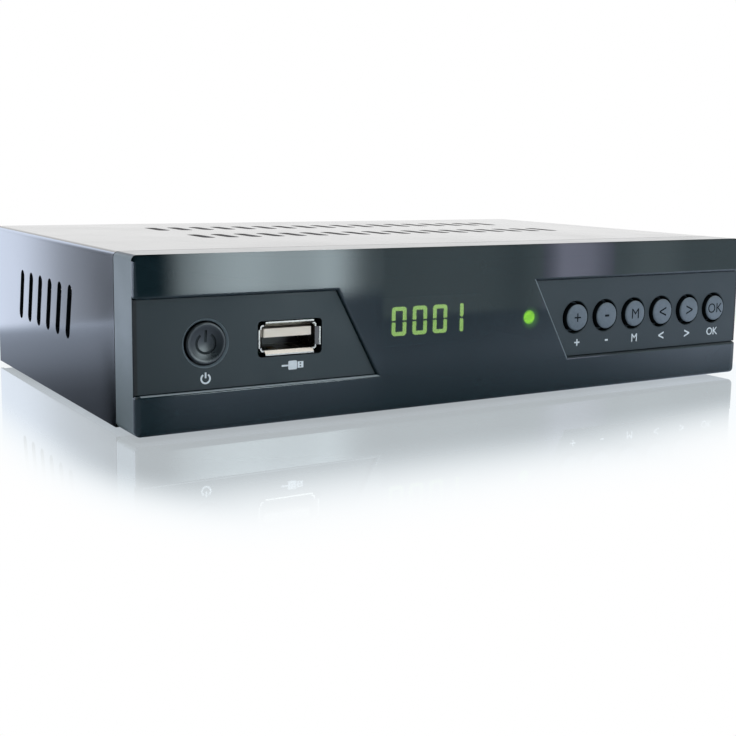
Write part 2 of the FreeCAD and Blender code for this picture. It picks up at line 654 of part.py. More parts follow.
def hook_barb(sides, barb_y, arm_bottom):
    """The wedge under a hook's end that drops into the chassis floor."""
    points = [
        V(sides[0], barb_y[0], arm_bottom), V(sides[0], barb_y[0], arm_bottom - HOOK_DROP),
        V(sides[0], barb_y[1], arm_bottom),
    ]
    return Part.Face(Part.makePolygon(points + points[:1])).extrude(V(sides[1] - sides[0], 0, 0))


# ---- Buttons ----
def make_button(radius, proud, edge, hole, x, dish):
    """A button: cap, retaining flange and ribbed stem that ends on the switch's plunger."""
    face = ZONE_RECESS - proud
    flange_y = (FACE_BACK + FLANGE_CLEARANCE, FACE_BACK + FLANGE_CLEARANCE + FLANGE_THICKNESS)
    tip = FRONT_BOARD_DEPTH - SWITCH_HEIGHT
    cap = rod(radius, x, CONTROL_Z, (face, flange_y[0]))
    front = [e for e in cap.Edges if e.Closed and abs(e.CenterOfMass.y - face) < 1e-6]
    cap = cap.makeFillet(edge, front)
    if dish:
        reach = radius - 2 * edge
        ball = (reach * reach + dish * dish) / (2 * dish)
        cap = cap.cut(Part.makeSphere(ball, V(x, face + dish - ball, CONTROL_Z)))
    flange = rod(hole + FLANGE_OVERLAP, x, CONTROL_Z, flange_y)
    stem = rod(STEM_RADIUS, x, CONTROL_Z, (flange_y[1], tip))
    rib_y = (flange_y[1], (flange_y[1] + tip) / 2)
    rib, reach = STEM_RIB / 2, STEM_RIB_REACH
    ribs = [
        box((x - reach, x + reach), rib_y, (CONTROL_Z - rib, CONTROL_Z + rib)),
        box((x - rib, x + rib), rib_y, (CONTROL_Z - reach, CONTROL_Z + reach)),
    ]
    return joined([cap, flange, stem] + ribs)


def make_switch_body(x):
    """A tact switch's case, with the well that its plunger slides in."""
    side = SWITCH_SIDE / 2
    y = (FRONT_BOARD_DEPTH - SWITCH_BODY_HEIGHT, FRONT_BOARD_DEPTH)
    case = box((x - side, x + side), y, (CONTROL_Z - side, CONTROL_Z + side))
    case = rounded(case, SWITCH_CORNER, (0, 1, 0))
    well_y = (y[0] - PAST, y[0] + PLUNGER_ROOT + 2 * KEY_TRAVEL)
    return case.cut(rod(PLUNGER_RADIUS + PLUNGER_CLEARANCE, x, CONTROL_Z, well_y))


def make_plunger(x):
    """The switch's plunger, which the button's stem rests on."""
    tip = FRONT_BOARD_DEPTH - SWITCH_HEIGHT
    root = FRONT_BOARD_DEPTH - SWITCH_BODY_HEIGHT + PLUNGER_ROOT
    return rod(PLUNGER_RADIUS, x, CONTROL_Z, (tip, root))


# ---- Front board ----
def link_places():
    """The X of the pins of the header between the boards."""
    start = x_at(LINK_SHARE)
    return [start + i * LINK_PITCH for i in range(LINK_PINS)]


def link_height():
    """The Z of the header's level pins."""
    return MAIN_TOP + LINK_PITCH / 2


def make_front_board():
    """The upright board behind the bezel."""
    side = HALF - FRONT_BOARD_SIDE_MARGIN
    y = (FRONT_BOARD_DEPTH, BOARD_BACK)
    board = box((-side, side), y, (BASE + FRONT_BOARD_MARGIN, TOP - FRONT_BOARD_MARGIN))
    through = (y[0] - PAST, y[1] + PAST)
    cuts = [rod(FRONT_SCREW_RADIUS, x, z, through) for x, z in boss_places()]
    pin = LINK_PIN / 2
    z = link_height()
    cuts += [box((x - pin, x + pin), through, (z - pin, z + pin)) for x in link_places()]
    return board.cut(cuts)


def make_board_link():
    """Right-angle pin header that joins the two boards."""
    pin, z = LINK_PIN / 2, link_height()
    xs = link_places()
    half = LINK_PITCH / 2
    block_y = (MAIN_BOARD_SETBACK + LINK_PITCH, MAIN_BOARD_SETBACK + 2 * LINK_PITCH)
    block = box((xs[0] - half, xs[-1] + half), block_y, (MAIN_TOP, MAIN_TOP + LINK_PITCH))
    pins = []
    for x in xs:
        pins.append(box((x - pin, x + pin), (FRONT_BOARD_DEPTH - LINK_PROUD, block_y[0]), (z - pin, z + pin)))
    return joined([block] + pins)


def usb_tongue_z():
    """The top and underside of the USB tongue."""
    top = CONTROL_Z + USB_HEIGHT / 2 - USB_SHEET - USB_TONGUE_GAP
    return top - USB_TONGUE_THICKNESS, top


def usb_mouth():
    """The Y of the USB socket's lips."""
    return ZONE_RECESS + USB_SETBACK


def usb_spring_windows():
    """The slots round the four springs cut in the top and bottom of the USB sleeve."""
    reach = USB_SPRING_WIDTH / 2 + USB_SPRING_GAP
    root = usb_mouth() + USB_SPRING_ROOT
    y = (root - USB_SPRING_LENGTH - USB_SPRING_GAP, root)
    z = (CONTROL_Z - USB_HEIGHT, CONTROL_Z + USB_HEIGHT)
    return [box((USB_X + side - reach, USB_X + side + reach), y, z) for side in USB_SPRING_PLACES]


def usb_springs():
    """The springs that press on the plug, bent inwards and out again towards the mouth."""
    root = usb_mouth() + USB_SPRING_ROOT
    bend, tip = root - USB_SPRING_LENGTH * USB_SPRING_TIP, root - USB_SPRING_LENGTH
    half_h, half = USB_HEIGHT / 2, USB_SPRING_WIDTH / 2
    profile = [
        (root, half_h), (root, half_h - USB_SHEET), (bend, half_h - USB_SHEET - USB_SPRING_DIP),
        (tip, half_h - USB_SHEET), (tip, half_h), (bend, half_h - USB_SPRING_DIP),
    ]
    width = V(USB_SPRING_WIDTH, 0, 0)
    springs = []
    for side in USB_SPRING_PLACES:
        for sign in (-1, 1):
            points = [V(USB_X + side - half, py, CONTROL_Z + sign * pz) for py, pz in profile]
            springs.append(Part.Face(Part.makePolygon(points + points[:1])).extrude(width))
    return springs


def make_usb_shell():
    """Steel sleeve of the USB socket: a flared lip on each side of its mouth, and four springs."""
    start = usb_mouth() + USB_FLARE
    y = (start, FRONT_BOARD_DEPTH)
    outer = rounded_tube(USB_WIDTH, USB_HEIGHT, 2 * USB_SHEET, USB_X, CONTROL_Z, y)
    inside = (USB_WIDTH - 2 * USB_SHEET, USB_HEIGHT - 2 * USB_SHEET)
    bore = rounded_tube(*inside, USB_SHEET, USB_X, CONTROL_Z, (y[0] - PAST, y[1] + PAST))
    shell = outer.cut([bore] + usb_spring_windows())
    half_w, half_h = USB_WIDTH / 2, USB_HEIGHT / 2
    lip_w, lip_h = half_w - 3 * USB_SHEET, half_h - 3 * USB_SHEET
    mouth = usb_mouth()
    profile = [(start, -USB_SHEET), (start, 0), (mouth, USB_FLARE), (mouth, USB_FLARE - USB_SHEET)]
    lips = []
    for sign in (-1, 1):
        level = [V(USB_X - lip_w, py, CONTROL_Z + sign * (half_h + out)) for py, out in profile]
        lips.append(Part.Face(Part.makePolygon(level + level[:1])).extrude(V(2 * lip_w, 0, 0)))
        upright = [V(USB_X + sign * (half_w + out), py, CONTROL_Z - lip_h) for py, out in profile]
        lips.append(Part.Face(Part.makePolygon(upright + upright[:1])).extrude(V(0, 0, 2 * lip_h)))
    return joined([shell] + lips + usb_springs())


def make_usb_tongue():
    """White insulator: the block at the back of the sleeve and the tongue in its upper half."""
    inside_w, inside_h = USB_WIDTH - 2 * USB_SHEET, USB_HEIGHT - 2 * USB_SHEET
    block_y = (FRONT_BOARD_DEPTH - USB_BLOCK_DEPTH, FRONT_BOARD_DEPTH)
    block = rounded_tube(inside_w, inside_h, USB_SHEET, USB_X, CONTROL_Z, block_y)
    low, high = usb_tongue_z()
    half = USB_TONGUE_WIDTH / 2
    tongue = box((USB_X - half, USB_X + half), (usb_mouth() + USB_TONGUE_SETBACK, block_y[0]), (low, high))
    return joined([block, tongue])


def make_usb_contacts():
    """The four gold strips under the tongue."""
    low, _ = usb_tongue_z()
    half = USB_CONTACT_WIDTH / 2
    y = (usb_mouth() + 2 * USB_TONGUE_SETBACK, FRONT_BOARD_DEPTH - USB_BLOCK_DEPTH)
    z = (low - USB_CONTACT_THICKNESS, low)
    return Part.Compound([box((USB_X + p - half, USB_X + p + half), y, z) for p in USB_CONTACT_POSITIONS])


def display_face():
    """The Y of the display's face."""
    return WINDOW_THICKNESS + DISPLAY_BEHIND_WINDOW


def make_display_module():
    """Black display block on its row of pins."""
    z = BASE + DISPLAY_HEIGHT_UP
    back = display_face() + DISPLAY_THICKNESS
    half_w, half_h = DISPLAY_WIDTH / 2, DISPLAY_HEIGHT / 2
    block = box((DISPLAY_X - half_w, DISPLAY_X + half_w), (display_face(), back), (z - half_h, z + half_h))
    pins = []
    pin = DISPLAY_PIN / 2
    count = int(DISPLAY_WIDTH / DISPLAY_PIN_PITCH)
    for i in range(count):
        x = DISPLAY_X + (i - (count - 1) / 2) * DISPLAY_PIN_PITCH
        for row in (-1, 1):
            pin_z = z + row * (half_h - 2 * DISPLAY_PIN)
            pins.append(box((x - pin, x + pin), (back, FRONT_BOARD_DEPTH), (pin_z - pin, pin_z + pin)))
    return joined([block] + pins)


def segment(cx, cz, length, level):
    """One six-sided segment about a point, level or upright."""
    half, wide = length / 2, SEGMENT_WIDTH / 2
    flat = half - wide
    points = [(-half, 0), (-flat, wide), (flat, wide), (half, 0), (flat, -wide), (-flat, -wide)]
    y = (display_face() - SEGMENT_THICKNESS, display_face())
    if level:
        return prism([(cx + a, cz + b) for a, b in points], y)
    return prism([(cx + b, cz + a) for a, b in points], y)


def make_display_segments():
    """The seven segments of each digit."""
    z = BASE + DISPLAY_HEIGHT_UP
    level_reach = (DIGIT_WIDTH - SEGMENT_WIDTH) / 2
    upright_reach = (DIGIT_HEIGHT - SEGMENT_WIDTH) / 2
    level_length = 2 * level_reach - 2 * SEGMENT_GAP
    upright_length = upright_reach - 2 * SEGMENT_GAP
    pieces = []
    for i in range(DIGIT_COUNT):
        x = DISPLAY_X + (i - (DIGIT_COUNT - 1) / 2) * DIGIT_PITCH
        pieces += [segment(x, z + step * upright_reach, level_length, True) for step in (-1, 0, 1)]
        for side in (-level_reach, level_reach):
            for rise in (-upright_reach / 2, upright_reach / 2):
                pieces.append(segment(x + side, z + rise, upright_length, False))
    return Part.Compound(pieces)


def make_status_led():
    """Round-nosed green lamp on the front board."""
    z = BASE + LED_HEIGHT_UP
    nose = FRONT_BOARD_DEPTH - LED_LENGTH + LED_RADIUS
    stem = rod(LED_RADIUS, LED_X, z, (nose, FRONT_BOARD_DEPTH))
    return joined([stem, Part.makeSphere(LED_RADIUS, V(LED_X, nose, z))])


def make_status_light_pipe():
    """Clear rod that carries the lamp's light to the back of the plate."""
    z = BASE + LED_HEIGHT_UP
    end = FRONT_BOARD_DEPTH - LED_LENGTH - LIGHT_PIPE_GAP
    pipe = rod(LIGHT_PIPE_RADIUS, LED_X, z, (WINDOW_THICKNESS, end))
    collar_y = (FACE_BACK + GUIDE_DEPTH, FACE_BACK + GUIDE_DEPTH + LIGHT_PIPE_FLANGE)
    return joined([pipe, rod(LIGHT_PIPE_RADIUS + LIGHT_PIPE_FLANGE, LED_X, z, collar_y)])


def make_ir_receiver():
    """Remote-control eye with its domed lens."""
    z = BASE + DISPLAY_HEIGHT_UP
    half_w, half_h = EYE_WIDTH / 2, EYE_HEIGHT / 2
    face = FRONT_BOARD_DEPTH - EYE_DEPTH
    body = box((EYE_X - half_w, EYE_X + half_w), (face, FRONT_BOARD_DEPTH), (z - half_h, z + half_h))
    return joined([body, Part.makeSphere(EYE_LENS_RADIUS, V(EYE_X, face, z))])


# ---- Main board ----
def make_main_board():
    """The level board that carries the rear connectors."""
    board = box((-MAIN_HALF, MAIN_HALF), (MAIN_BOARD_SETBACK, MAIN_REAR), (MAIN_BOTTOM, MAIN_TOP))
    through = (MAIN_BOTTOM - PAST, MAIN_TOP + PAST)
    return board.cut([post(MAIN_SCREW_RADIUS, x, y, through) for x, y in main_screw_places()])


def f_places():
    """The X of the two F sockets."""
    return [TUNER_X - F_SPACING / 2, TUNER_X + F_SPACING / 2]


def make_tuner_can():
    """Folded tin box of the tuner, open underneath."""
    half = TUNER_WIDTH / 2
    y = (PANEL_INNER - TUNER_DEPTH, PANEL_INNER)
    can = box((TUNER_X - half, TUNER_X + half), y, (MAIN_TOP, MAIN_TOP + TUNER_HEIGHT))
    wall = TUNER_WALL
    inside = box(
        (TUNER_X - half + wall, TUNER_X + half - wall), (y[0] + wall, y[1] - wall),
        (MAIN_TOP - PAST, MAIN_TOP + TUNER_HEIGHT - wall),
    )
    wire_holes = [rod(F_CONTACT_RADIUS, x, F_Z, (y[1] - wall - PAST, y[1] + PAST)) for x in f_places()]
    return can.cut([inside] + wire_holes)


def make_f_socket(x):
    """Threaded F socket: hexagonal seat, threaded barrel and insulated mouth."""
    seat = prism(hexagon(F_HEX, x, F_Z), (CASE_DEPTH, CASE_DEPTH + F_HEX_THICKNESS))
    barrel = rod(F_THREAD_RADIUS, x, F_Z, (PANEL_INNER, CASE_DEPTH + F_REACH))
    mouth = rod(F_BORE_RADIUS, x, F_Z, (CASE_DEPTH + F_HEX_THICKNESS, CASE_DEPTH + F_REACH + PAST))
    return joined([seat, barrel]).cut(mouth)


def make_f_insulators():
    """White insulator in each F socket, with the hole for the cable's wire."""
    pieces = []
    y = (CASE_DEPTH + F_HEX_THICKNESS, CASE_DEPTH + F_REACH - F_CONTACT_RADIUS)
    for x in f_places():
        plug = rod(F_BORE_RADIUS, x, F_Z, y)
        pieces.append(plug.cut(rod(F_CONTACT_RADIUS, x, F_Z, (y[0] + F_INSULATOR_FLOOR, y[1] + PAST))))
    return Part.Compound(pieces)


def hdmi_outline(margin):
    """The socket's outline: wide at the top, drawn in towards the bottom."""
    half, high = HDMI_WIDTH / 2 + margin, HDMI_HEIGHT / 2 + margin
    bevel = HDMI_BEVEL + margin * BEVEL_STEP
    shape = [
        (-half, high), (half, high), (half, bevel - high), (half - bevel, -high), (bevel - half, -high),
        (-half, bevel - high),
    ]
    return [(HDMI_X + px, HDMI_Z + pz) for px, pz in shape]


def make_hdmi_shell():
    """Folded steel sleeve of the HDMI socket."""
    y = (CASE_DEPTH - HDMI_DEPTH, CASE_DEPTH + HDMI_SHEET)
    sleeve = prism(hdmi_outline(0), y)
    return sleeve.cut(prism(hdmi_outline(-HDMI_SHEET), (y[0] - PAST, y[1] + PAST)))


def make_hdmi_tongue():
    """Black insulator of the HDMI socket: rear block and tongue."""
    y = (CASE_DEPTH - HDMI_DEPTH, CASE_DEPTH - HDMI_DEPTH + HDMI_BLOCK_DEPTH)
    block = prism(hdmi_outline(-HDMI_SHEET), y)
    half = HDMI_TONGUE_WIDTH / 2
    tongue_y = (y[1], CASE_DEPTH - HDMI_TONGUE_SETBACK)
    low = HDMI_Z - HDMI_TONGUE_THICKNESS / 2
    tongue = box((HDMI_X - half, HDMI_X + half), tongue_y, (low, low + HDMI_TONGUE_THICKNESS))
    return joined([block, tongue])


def scart_outline(margin):
    """The socket's outline: a long rectangle with one end drawn in at the bottom."""
    half, high = SCART_WIDTH / 2 + margin, SCART_HEIGHT / 2 + margin
    bevel = SCART_BEVEL + margin * BEVEL_STEP
    shape = [(-half, high), (half, high), (half, bevel - high), (half - bevel, -high), (-half, -high)]
    return [(SCART_X + px, SCART_Z + pz) for px, pz in shape]


def scart_slot_places():
    """The X and Z of the contact slots, in two rows set half a pitch apart."""
    places = []
    for row in (-1, 1):
        for i in range(SCART_CONTACTS_PER_ROW):
            x = SCART_X + (i - (SCART_CONTACTS_PER_ROW - 1) / 2) * SCART_CONTACT_PITCH
            x += row * SCART_CONTACT_PITCH / 8
            places.append((x, SCART_Z + row * SCART_ROW_SPACING / 2))
    return places


def make_scart_socket():
    """Moulded SCART socket: outer rim, plug groove and the core with its contact slots."""
    mouth = CASE_DEPTH + SCART_PROUD
    body = prism(scart_outline(0), (mouth - SCART_DEPTH, mouth))
    groove_y = (mouth - SCART_GROOVE_DEPTH, mouth + PAST)
    groove = prism(scart_outline(-SCART_RIM), groove_y)
    core = prism(scart_outline(-SCART_RIM - SCART_GROOVE), groove_y)
    width, height = SCART_SLOT
    slots = [
        box((x - width / 2, x + width / 2), groove_y, (z - height / 2, z + height / 2))
        for x, z in scart_slot_places()
    ]
    return body.cut(groove.cut(core)).cut(slots)


def make_scart_contacts():
    """The spring blades in the SCART socket's slots."""
    mouth = CASE_DEPTH + SCART_PROUD
    y = (mouth - SCART_GROOVE_DEPTH, mouth - SCART_PROUD)
    width, height = SCART_SLOT
    blades = []
    for x, z in scart_slot_places():
        blades.append(box((x - width / 2, x - width / 2 + SCART_BLADE), y, (z - height / 3, z + height / 3)))
    return Part.Compound(blades)


def make_digital_jack_shell():
    """Body and outer sleeve of the coaxial digital audio jack."""
    half = RCA_BODY_WIDTH / 2
    y, z = (PANEL_INNER - RCA_BODY_DEPTH, PANEL_INNER), (MAIN_TOP, MAIN_TOP + RCA_BODY_HEIGHT)
    body = box((RCA_X - half, RCA_X + half), y, z)
    neck = rod(RCA_NECK_RADIUS, RCA_X, RCA_Z, (PANEL_INNER, CASE_DEPTH))
    sleeve = rod(RCA_RADIUS, RCA_X, RCA_Z, (CASE_DEPTH, CASE_DEPTH + RCA_REACH))
    mouth = rod(RCA_RADIUS - RCA_SHELL_WALL, RCA_X, RCA_Z, (PANEL_INNER, CASE_DEPTH + RCA_REACH + PAST))
    return joined([body, neck, sleeve]).cut(mouth)


def make_digital_jack_core():
    """Coloured insulator and centre contact of the digital audio jack."""
    end = CASE_DEPTH + RCA_REACH
    disc = rod(RCA_RADIUS - RCA_SHELL_WALL, RCA_X, RCA_Z, (PANEL_INNER, CASE_DEPTH + RCA_DISC))
    core = rod(RCA_CORE_RADIUS, RCA_X, RCA_Z, (PANEL_INNER, end - RCA_CORE_SETBACK))
    return joined([disc, core]).cut(rod(RCA_CORE_BORE, RCA_X, RCA_Z, (PANEL_INNER + RCA_DISC, end + PAST)))


def make_dc_inlet():
    """Moulded body of the low-voltage inlet, with its round mouth."""
    half = DC_WIDTH / 2
    mouth = CASE_DEPTH + DC_PROUD
    body = box((DC_X - half, DC_X + half), (mouth - DC_DEPTH, mouth), (MAIN_TOP, MAIN_TOP + DC_HEIGHT))
    body = rounded(body, DC_CORNER, (0, 1, 0), lambda middle: middle.z > DC_Z)
    return body.cut(rod(DC_BORE_RADIUS, DC_X, DC_Z, (mouth - DC_BORE_DEPTH, mouth + PAST)))


def make_dc_pin():
    """Centre pin of the low-voltage inlet."""
    mouth = CASE_DEPTH + DC_PROUD
    pin = rod(DC_PIN_RADIUS, DC_X, DC_Z, (mouth - DC_BORE_DEPTH, mouth - DC_PIN_SETBACK))
    tip = [e for e in pin.Edges if e.Closed and e.CenterOfMass.y > mouth - DC_PIN_SETBACK - 0.01]
    return pin.makeFillet(DC_PIN_RADIUS / 3, tip)


def chip(size, x, setback):
    """A flat chip on the main board, with its width along X, depth along Y and height."""
    width, depth, height = size
    z = (MAIN_TOP, MAIN_TOP + height)
    body = box((x - width / 2, x + width / 2), (setback - depth / 2, setback + depth / 2), z)
    return rounded(body, height / 4, (0, 0, 1))


def make_heatsink():
    """Finned block on the main processor."""
    x = x_at(PROCESSOR_SHARE)
    half = HEATSINK_SIDE / 2
    bottom = MAIN_TOP + PROCESSOR_SIZE[2]
    y = (PROCESSOR_SETBACK - half, PROCESSOR_SETBACK + half)
    pieces = [box((x - half, x + half), y, (bottom, bottom + HEATSINK_BASE))]
    pitch = (HEATSINK_SIDE - HEATSINK_FIN) / (HEATSINK_FINS - 1)
    for i in range(HEATSINK_FINS):
        left = x - half + i * pitch
        pieces.append(box((left, left + HEATSINK_FIN), y, (bottom, bottom + HEATSINK_HEIGHT)))
    return joined(pieces)


def make_inductors():
    """The two shielded inductors of the power supply."""
    size = (INDUCTOR_SIDE, INDUCTOR_SIDE, INDUCTOR_HEIGHT)
    first = x_at(INDUCTOR_SHARE)
    return Part.Compound([chip(size, x, INDUCTOR_SETBACK) for x in (first, first + INDUCTOR_PITCH)])


def make_crystal():
    """The low metal can of the clock crystal."""
    middle = (x_at(CRYSTAL_SHARE), CRYSTAL_SETBACK, MAIN_TOP + CRYSTAL_HEIGHT / 2)
    return slot(middle, (1, 0, 0), (0, 1, 0), CRYSTAL_LENGTH, CRYSTAL_WIDTH, CRYSTAL_HEIGHT / 2)


def make_capacitors():
    """The upright electrolytic capacitors, tall ones at the supply and short ones elsewhere."""
    groups = (
        (CAPACITOR_TALL, CAPACITOR_LEFT_SHARES, CAPACITOR_TALL_SETBACK),
        (CAPACITOR_SHORT, CAPACITOR_LEFT_SHARES, CAPACITOR_SHORT_SETBACK),
        (CAPACITOR_SHORT, CAPACITOR_RIGHT_SHARES, CAPACITOR_RIGHT_SETBACK),
    )
    cans = []
    for (radius, height), shares, setback in groups:
        for share in shares:
            can = post(radius, x_at(share), setback, (MAIN_TOP, MAIN_TOP + height))
            rims = [e for e in can.Edges if e.Closed]
            cans.append(can.makeFillet(CAPACITOR_EDGE, rims))
    return Part.Compound(cans)


# ---- Screws ----
def pan_head_screw(radius, head_radius, head_height, length, seat, direction):
    """A pan-head screw: the head's seat at a point, the shank running along direction."""
    direction = V(direction)
    shank = Part.makeCylinder(radius, length, V(seat), direction)
    head = Part.makeCylinder(head_radius, head_height, V(seat) - direction * head_height, direction)
    end = V(seat) - direction * head_height
    rim = [e for e in head.Edges if e.Closed and (e.CenterOfMass - end).Length < 1e-6]
    return joined([head.makeFillet(head_height / 2, rim), shank])


def make_cover_screws():
    """The screws through the rear panel into the cover's lips."""
    sizes = (SCREW_RADIUS, SCREW_HEAD_RADIUS, SCREW_HEAD_HEIGHT, SCREW_LENGTH)
    seats = [(x, CASE_DEPTH, z) for x, z in cover_screw_places()]
    return Part.Compound([pan_head_screw(*sizes, seat, (0, -1, 0)) for seat in seats])


def make_front_board_screws():
    """The screws that hold the front board to the bezel's bosses."""
    length = FRONT_SCREW_LENGTH + BOARD_THICKNESS
    sizes = (FRONT_SCREW_RADIUS, 2 * FRONT_SCREW_RADIUS, FRONT_SCREW_RADIUS, length)
    seats = [(x, BOARD_BACK, z) for x, z in boss_places()]
    return Part.Compound([pan_head_screw(*sizes, seat, (0, -1, 0)) for seat in seats])


def make_main_board_screws():
    """The screws that hold the main board to the chassis posts."""
    sizes = (MAIN_SCREW_RADIUS, 2 * MAIN_SCREW_RADIUS, MAIN_SCREW_RADIUS, MAIN_SCREW_LENGTH)
    seats = [(x, y, MAIN_TOP) for x, y in main_screw_places()]
    return Part.Compound([pan_head_screw(*sizes, seat, (0, 0, -1)) for seat in seats])


# ---- Export ----
def all_pieces():
    """Every node's name and its shape."""
    pieces = {
        "bottom_chassis": make_bottom_chassis(),
        "top_cover": make_top_cover(),
        "front_bezel": make_front_bezel(),
        "front_window": make_front_window(),
        "rubber_feet": make_rubber_feet(),
        "front_board": make_front_board(),
        "board_link": make_board_link(),
        "usb_shell": make_usb_shell(),
        "usb_tongue": make_usb_tongue(),
        "usb_contacts": make_usb_contacts(),
        "display_module": make_display_module(),
        "display_segments": make_display_segments(),
        "status_led": make_status_led(),
        "status_light_pipe": make_status_light_pipe(),
        "ir_receiver": make_ir_receiver(),
        "main_board": make_main_board(),
        "tuner_can": make_tuner_can(),
        "f_insulators": make_f_insulators(),
        "hdmi_shell": make_hdmi_shell(),
        "hdmi_tongue": make_hdmi_tongue(),
        "scart_socket": make_scart_socket(),
        "scart_contacts": make_scart_contacts(),
        "digital_jack_shell": make_digital_jack_shell(),
        "digital_jack_core": make_digital_jack_core(),
        "dc_inlet": make_dc_inlet(),
        "dc_pin": make_dc_pin(),
        "cover_screws": make_cover_screws(),
        "front_board_screws": make_front_board_screws(),
        "main_board_screws": make_main_board_screws(),
        "power_button": make_button(
            POWER_RADIUS, POWER_PROUD, POWER_EDGE, POWER_HOLE, POWER_X, POWER_DISH
        ),
        "switch_power": make_switch_body(POWER_X),
        "plunger_power": make_plunger(POWER_X),
        "main_processor": chip(PROCESSOR_SIZE, x_at(PROCESSOR_SHARE), PROCESSOR_SETBACK),
        "heatsink": make_heatsink(),
        "memory_chip": chip(MEMORY_SIZE, x_at(MEMORY_SHARE), PROCESSOR_SETBACK),
        "flash_chip": chip(FLASH_SIZE, x_at(FLASH_SHARE), PROCESSOR_SETBACK),
        "inductors": make_inductors(),
        "crystal": make_crystal(),
        "capacitors": make_capacitors(),
    }
    for name, x in zip(("lnb_input", "lnb_output"), f_places()):
        pieces[name] = make_f_socket(x)
    for name, x in zip(KEY_NAMES, KEY_XS):
        pieces["key_" + name] = make_button(KEY_RADIUS, KEY_PROUD, KEY_EDGE, KEY_HOLE, x, 0)
        pieces["switch_" + name] = make_switch_body(x)
        pieces["plunger_" + name] = make_plunger(x)
    return pieces


def export(pieces):
    """Write each piece to its own file, with the origin at the middle of the receiver's base."""
    os.makedirs("parts", exist_ok=True)
    for name, shape in pieces.items():
        shape.translate(V(0, -OVERALL_LENGTH / 2, 0))
        shape.exportStep(f"parts/{name}.step")


export(all_pieces())
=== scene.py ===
"""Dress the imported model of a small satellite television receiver.

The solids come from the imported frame.  This script gives every solid its finish, models the pieces
whose shape or marking is finer than the solids', and sets the floor, the lamps and the camera.
Sizes are millimetres in the row frame until they reach Blender, which works in metres.
"""

from __future__ import annotations

import logging
import math
from collections.abc import Callable, Sequence
from dataclasses import dataclass
from enum import Enum
from typing import Union

import bmesh
import bpy
from mathutils import Matrix, Vector

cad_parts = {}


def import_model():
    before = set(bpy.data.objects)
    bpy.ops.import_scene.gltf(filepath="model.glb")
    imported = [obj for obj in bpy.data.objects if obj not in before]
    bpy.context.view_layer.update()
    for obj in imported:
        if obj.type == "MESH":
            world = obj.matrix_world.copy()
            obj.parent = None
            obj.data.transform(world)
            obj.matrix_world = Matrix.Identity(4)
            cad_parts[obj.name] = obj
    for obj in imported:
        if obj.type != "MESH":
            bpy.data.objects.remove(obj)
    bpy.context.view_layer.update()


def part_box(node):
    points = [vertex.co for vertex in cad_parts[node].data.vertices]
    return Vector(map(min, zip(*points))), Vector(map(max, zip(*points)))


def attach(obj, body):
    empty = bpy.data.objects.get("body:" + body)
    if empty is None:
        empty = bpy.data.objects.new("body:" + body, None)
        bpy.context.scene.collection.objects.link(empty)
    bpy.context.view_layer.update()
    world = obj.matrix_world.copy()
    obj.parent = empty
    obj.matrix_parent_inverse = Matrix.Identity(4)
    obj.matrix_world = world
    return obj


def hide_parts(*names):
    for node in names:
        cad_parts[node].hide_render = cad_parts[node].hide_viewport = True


LOG = logging.getLogger("receiver")
MM = 0.001
CASE_BODY = "case"
FRONT_Y = -57.5  # the face of the front plate
GUIDE_BACK = FRONT_Y + 3.7  # the rear of the buttons' holes, where their flanges stop
FLOOR_SIZE = 6000.0  # the table's side
KEYS = ("plus", "minus", "menu", "left", "right", "ok")
FRONTWARDS = (0.0, -1.0, 0.0)
EVEN = (1.0, 1.0, 1.0)

Point = tuple[float, float, float]
Pair = tuple[float, float]
Colour = tuple[float, float, float, float]
Stops = tuple[Pair, ...]  # places along a line, and the level at each
Test = Callable[[Vector, Vector], bool]
Action = Callable[[], object]
Inputs = dict[Union[str, int], object]
Settings = tuple[tuple[str, float], ...]
Tree = bpy.types.NodeTree
Node = bpy.types.Node
Source = Union[bpy.types.NodeSocket, bpy.types.Node]  # an output, or a node that gives its first one


# ---- Colour and node helpers ----
def linear(code: str) -> Colour:
    """Turn an sRGB hex colour into the linear values that shaders take.

    Args:
        code: six hex digits with a leading hash.

    Returns:
        Red, green, blue and an alpha of 1.
    """
    parts = [int(code[i : i + 2], 16) / 255.0 for i in (1, 3, 5)]
    values = [p / 12.92 if p <= 0.04045 else ((p + 0.055) / 1.055) ** 2.4 for p in parts]
    return (values[0], values[1], values[2], 1.0)


def feed(node: Node, inputs: Inputs) -> Node:
    """Give a node's input sockets their values and links.

    Args:
        node: the node.
        inputs: for each socket, a value or the source that feeds it.

    Returns:
        The node.
    """
    for name, value in inputs.items():
        if isinstance(value, bpy.types.Node):
            value = value.outputs[0]
        if isinstance(value, bpy.types.NodeSocket):
            node.id_data.links.new(value, node.inputs[name])
        else:
            node.inputs[name].default_value = value
    return node


def add_node(tree: Tree, kind: str, inputs: Inputs | None = None, **settings: object) -> Node:
    """Add one node with its settings, socket values and links.

    Args:
        tree: the node tree that it goes into.
        kind: Blender's identifier of the node, without ShaderNode before it.
        inputs: for each input socket, a value or the source that feeds it.
        settings: the node's own properties.

    Returns:
        The new node.
    """
    node = tree.nodes.new("ShaderNode" + kind)
    for name, value in settings.items():
        setattr(node, name, value)
    return feed(node, inputs or {})


def empty_tree(owner: bpy.types.Material | bpy.types.World) -> Tree:
    """Give a material or a world a node tree with nothing in it.

    Args:
        owner: the material or the world.

    Returns:
        Its empty node tree.
    """
    owner.use_nodes = True
    owner.node_tree.nodes.clear()
    return owner.node_tree


def per_metre(size_mm: float) -> float:
    """Give the scale of a pattern whose features are size_mm across, on coordinates in metres."""
    return 1.0 / (size_mm * MM)


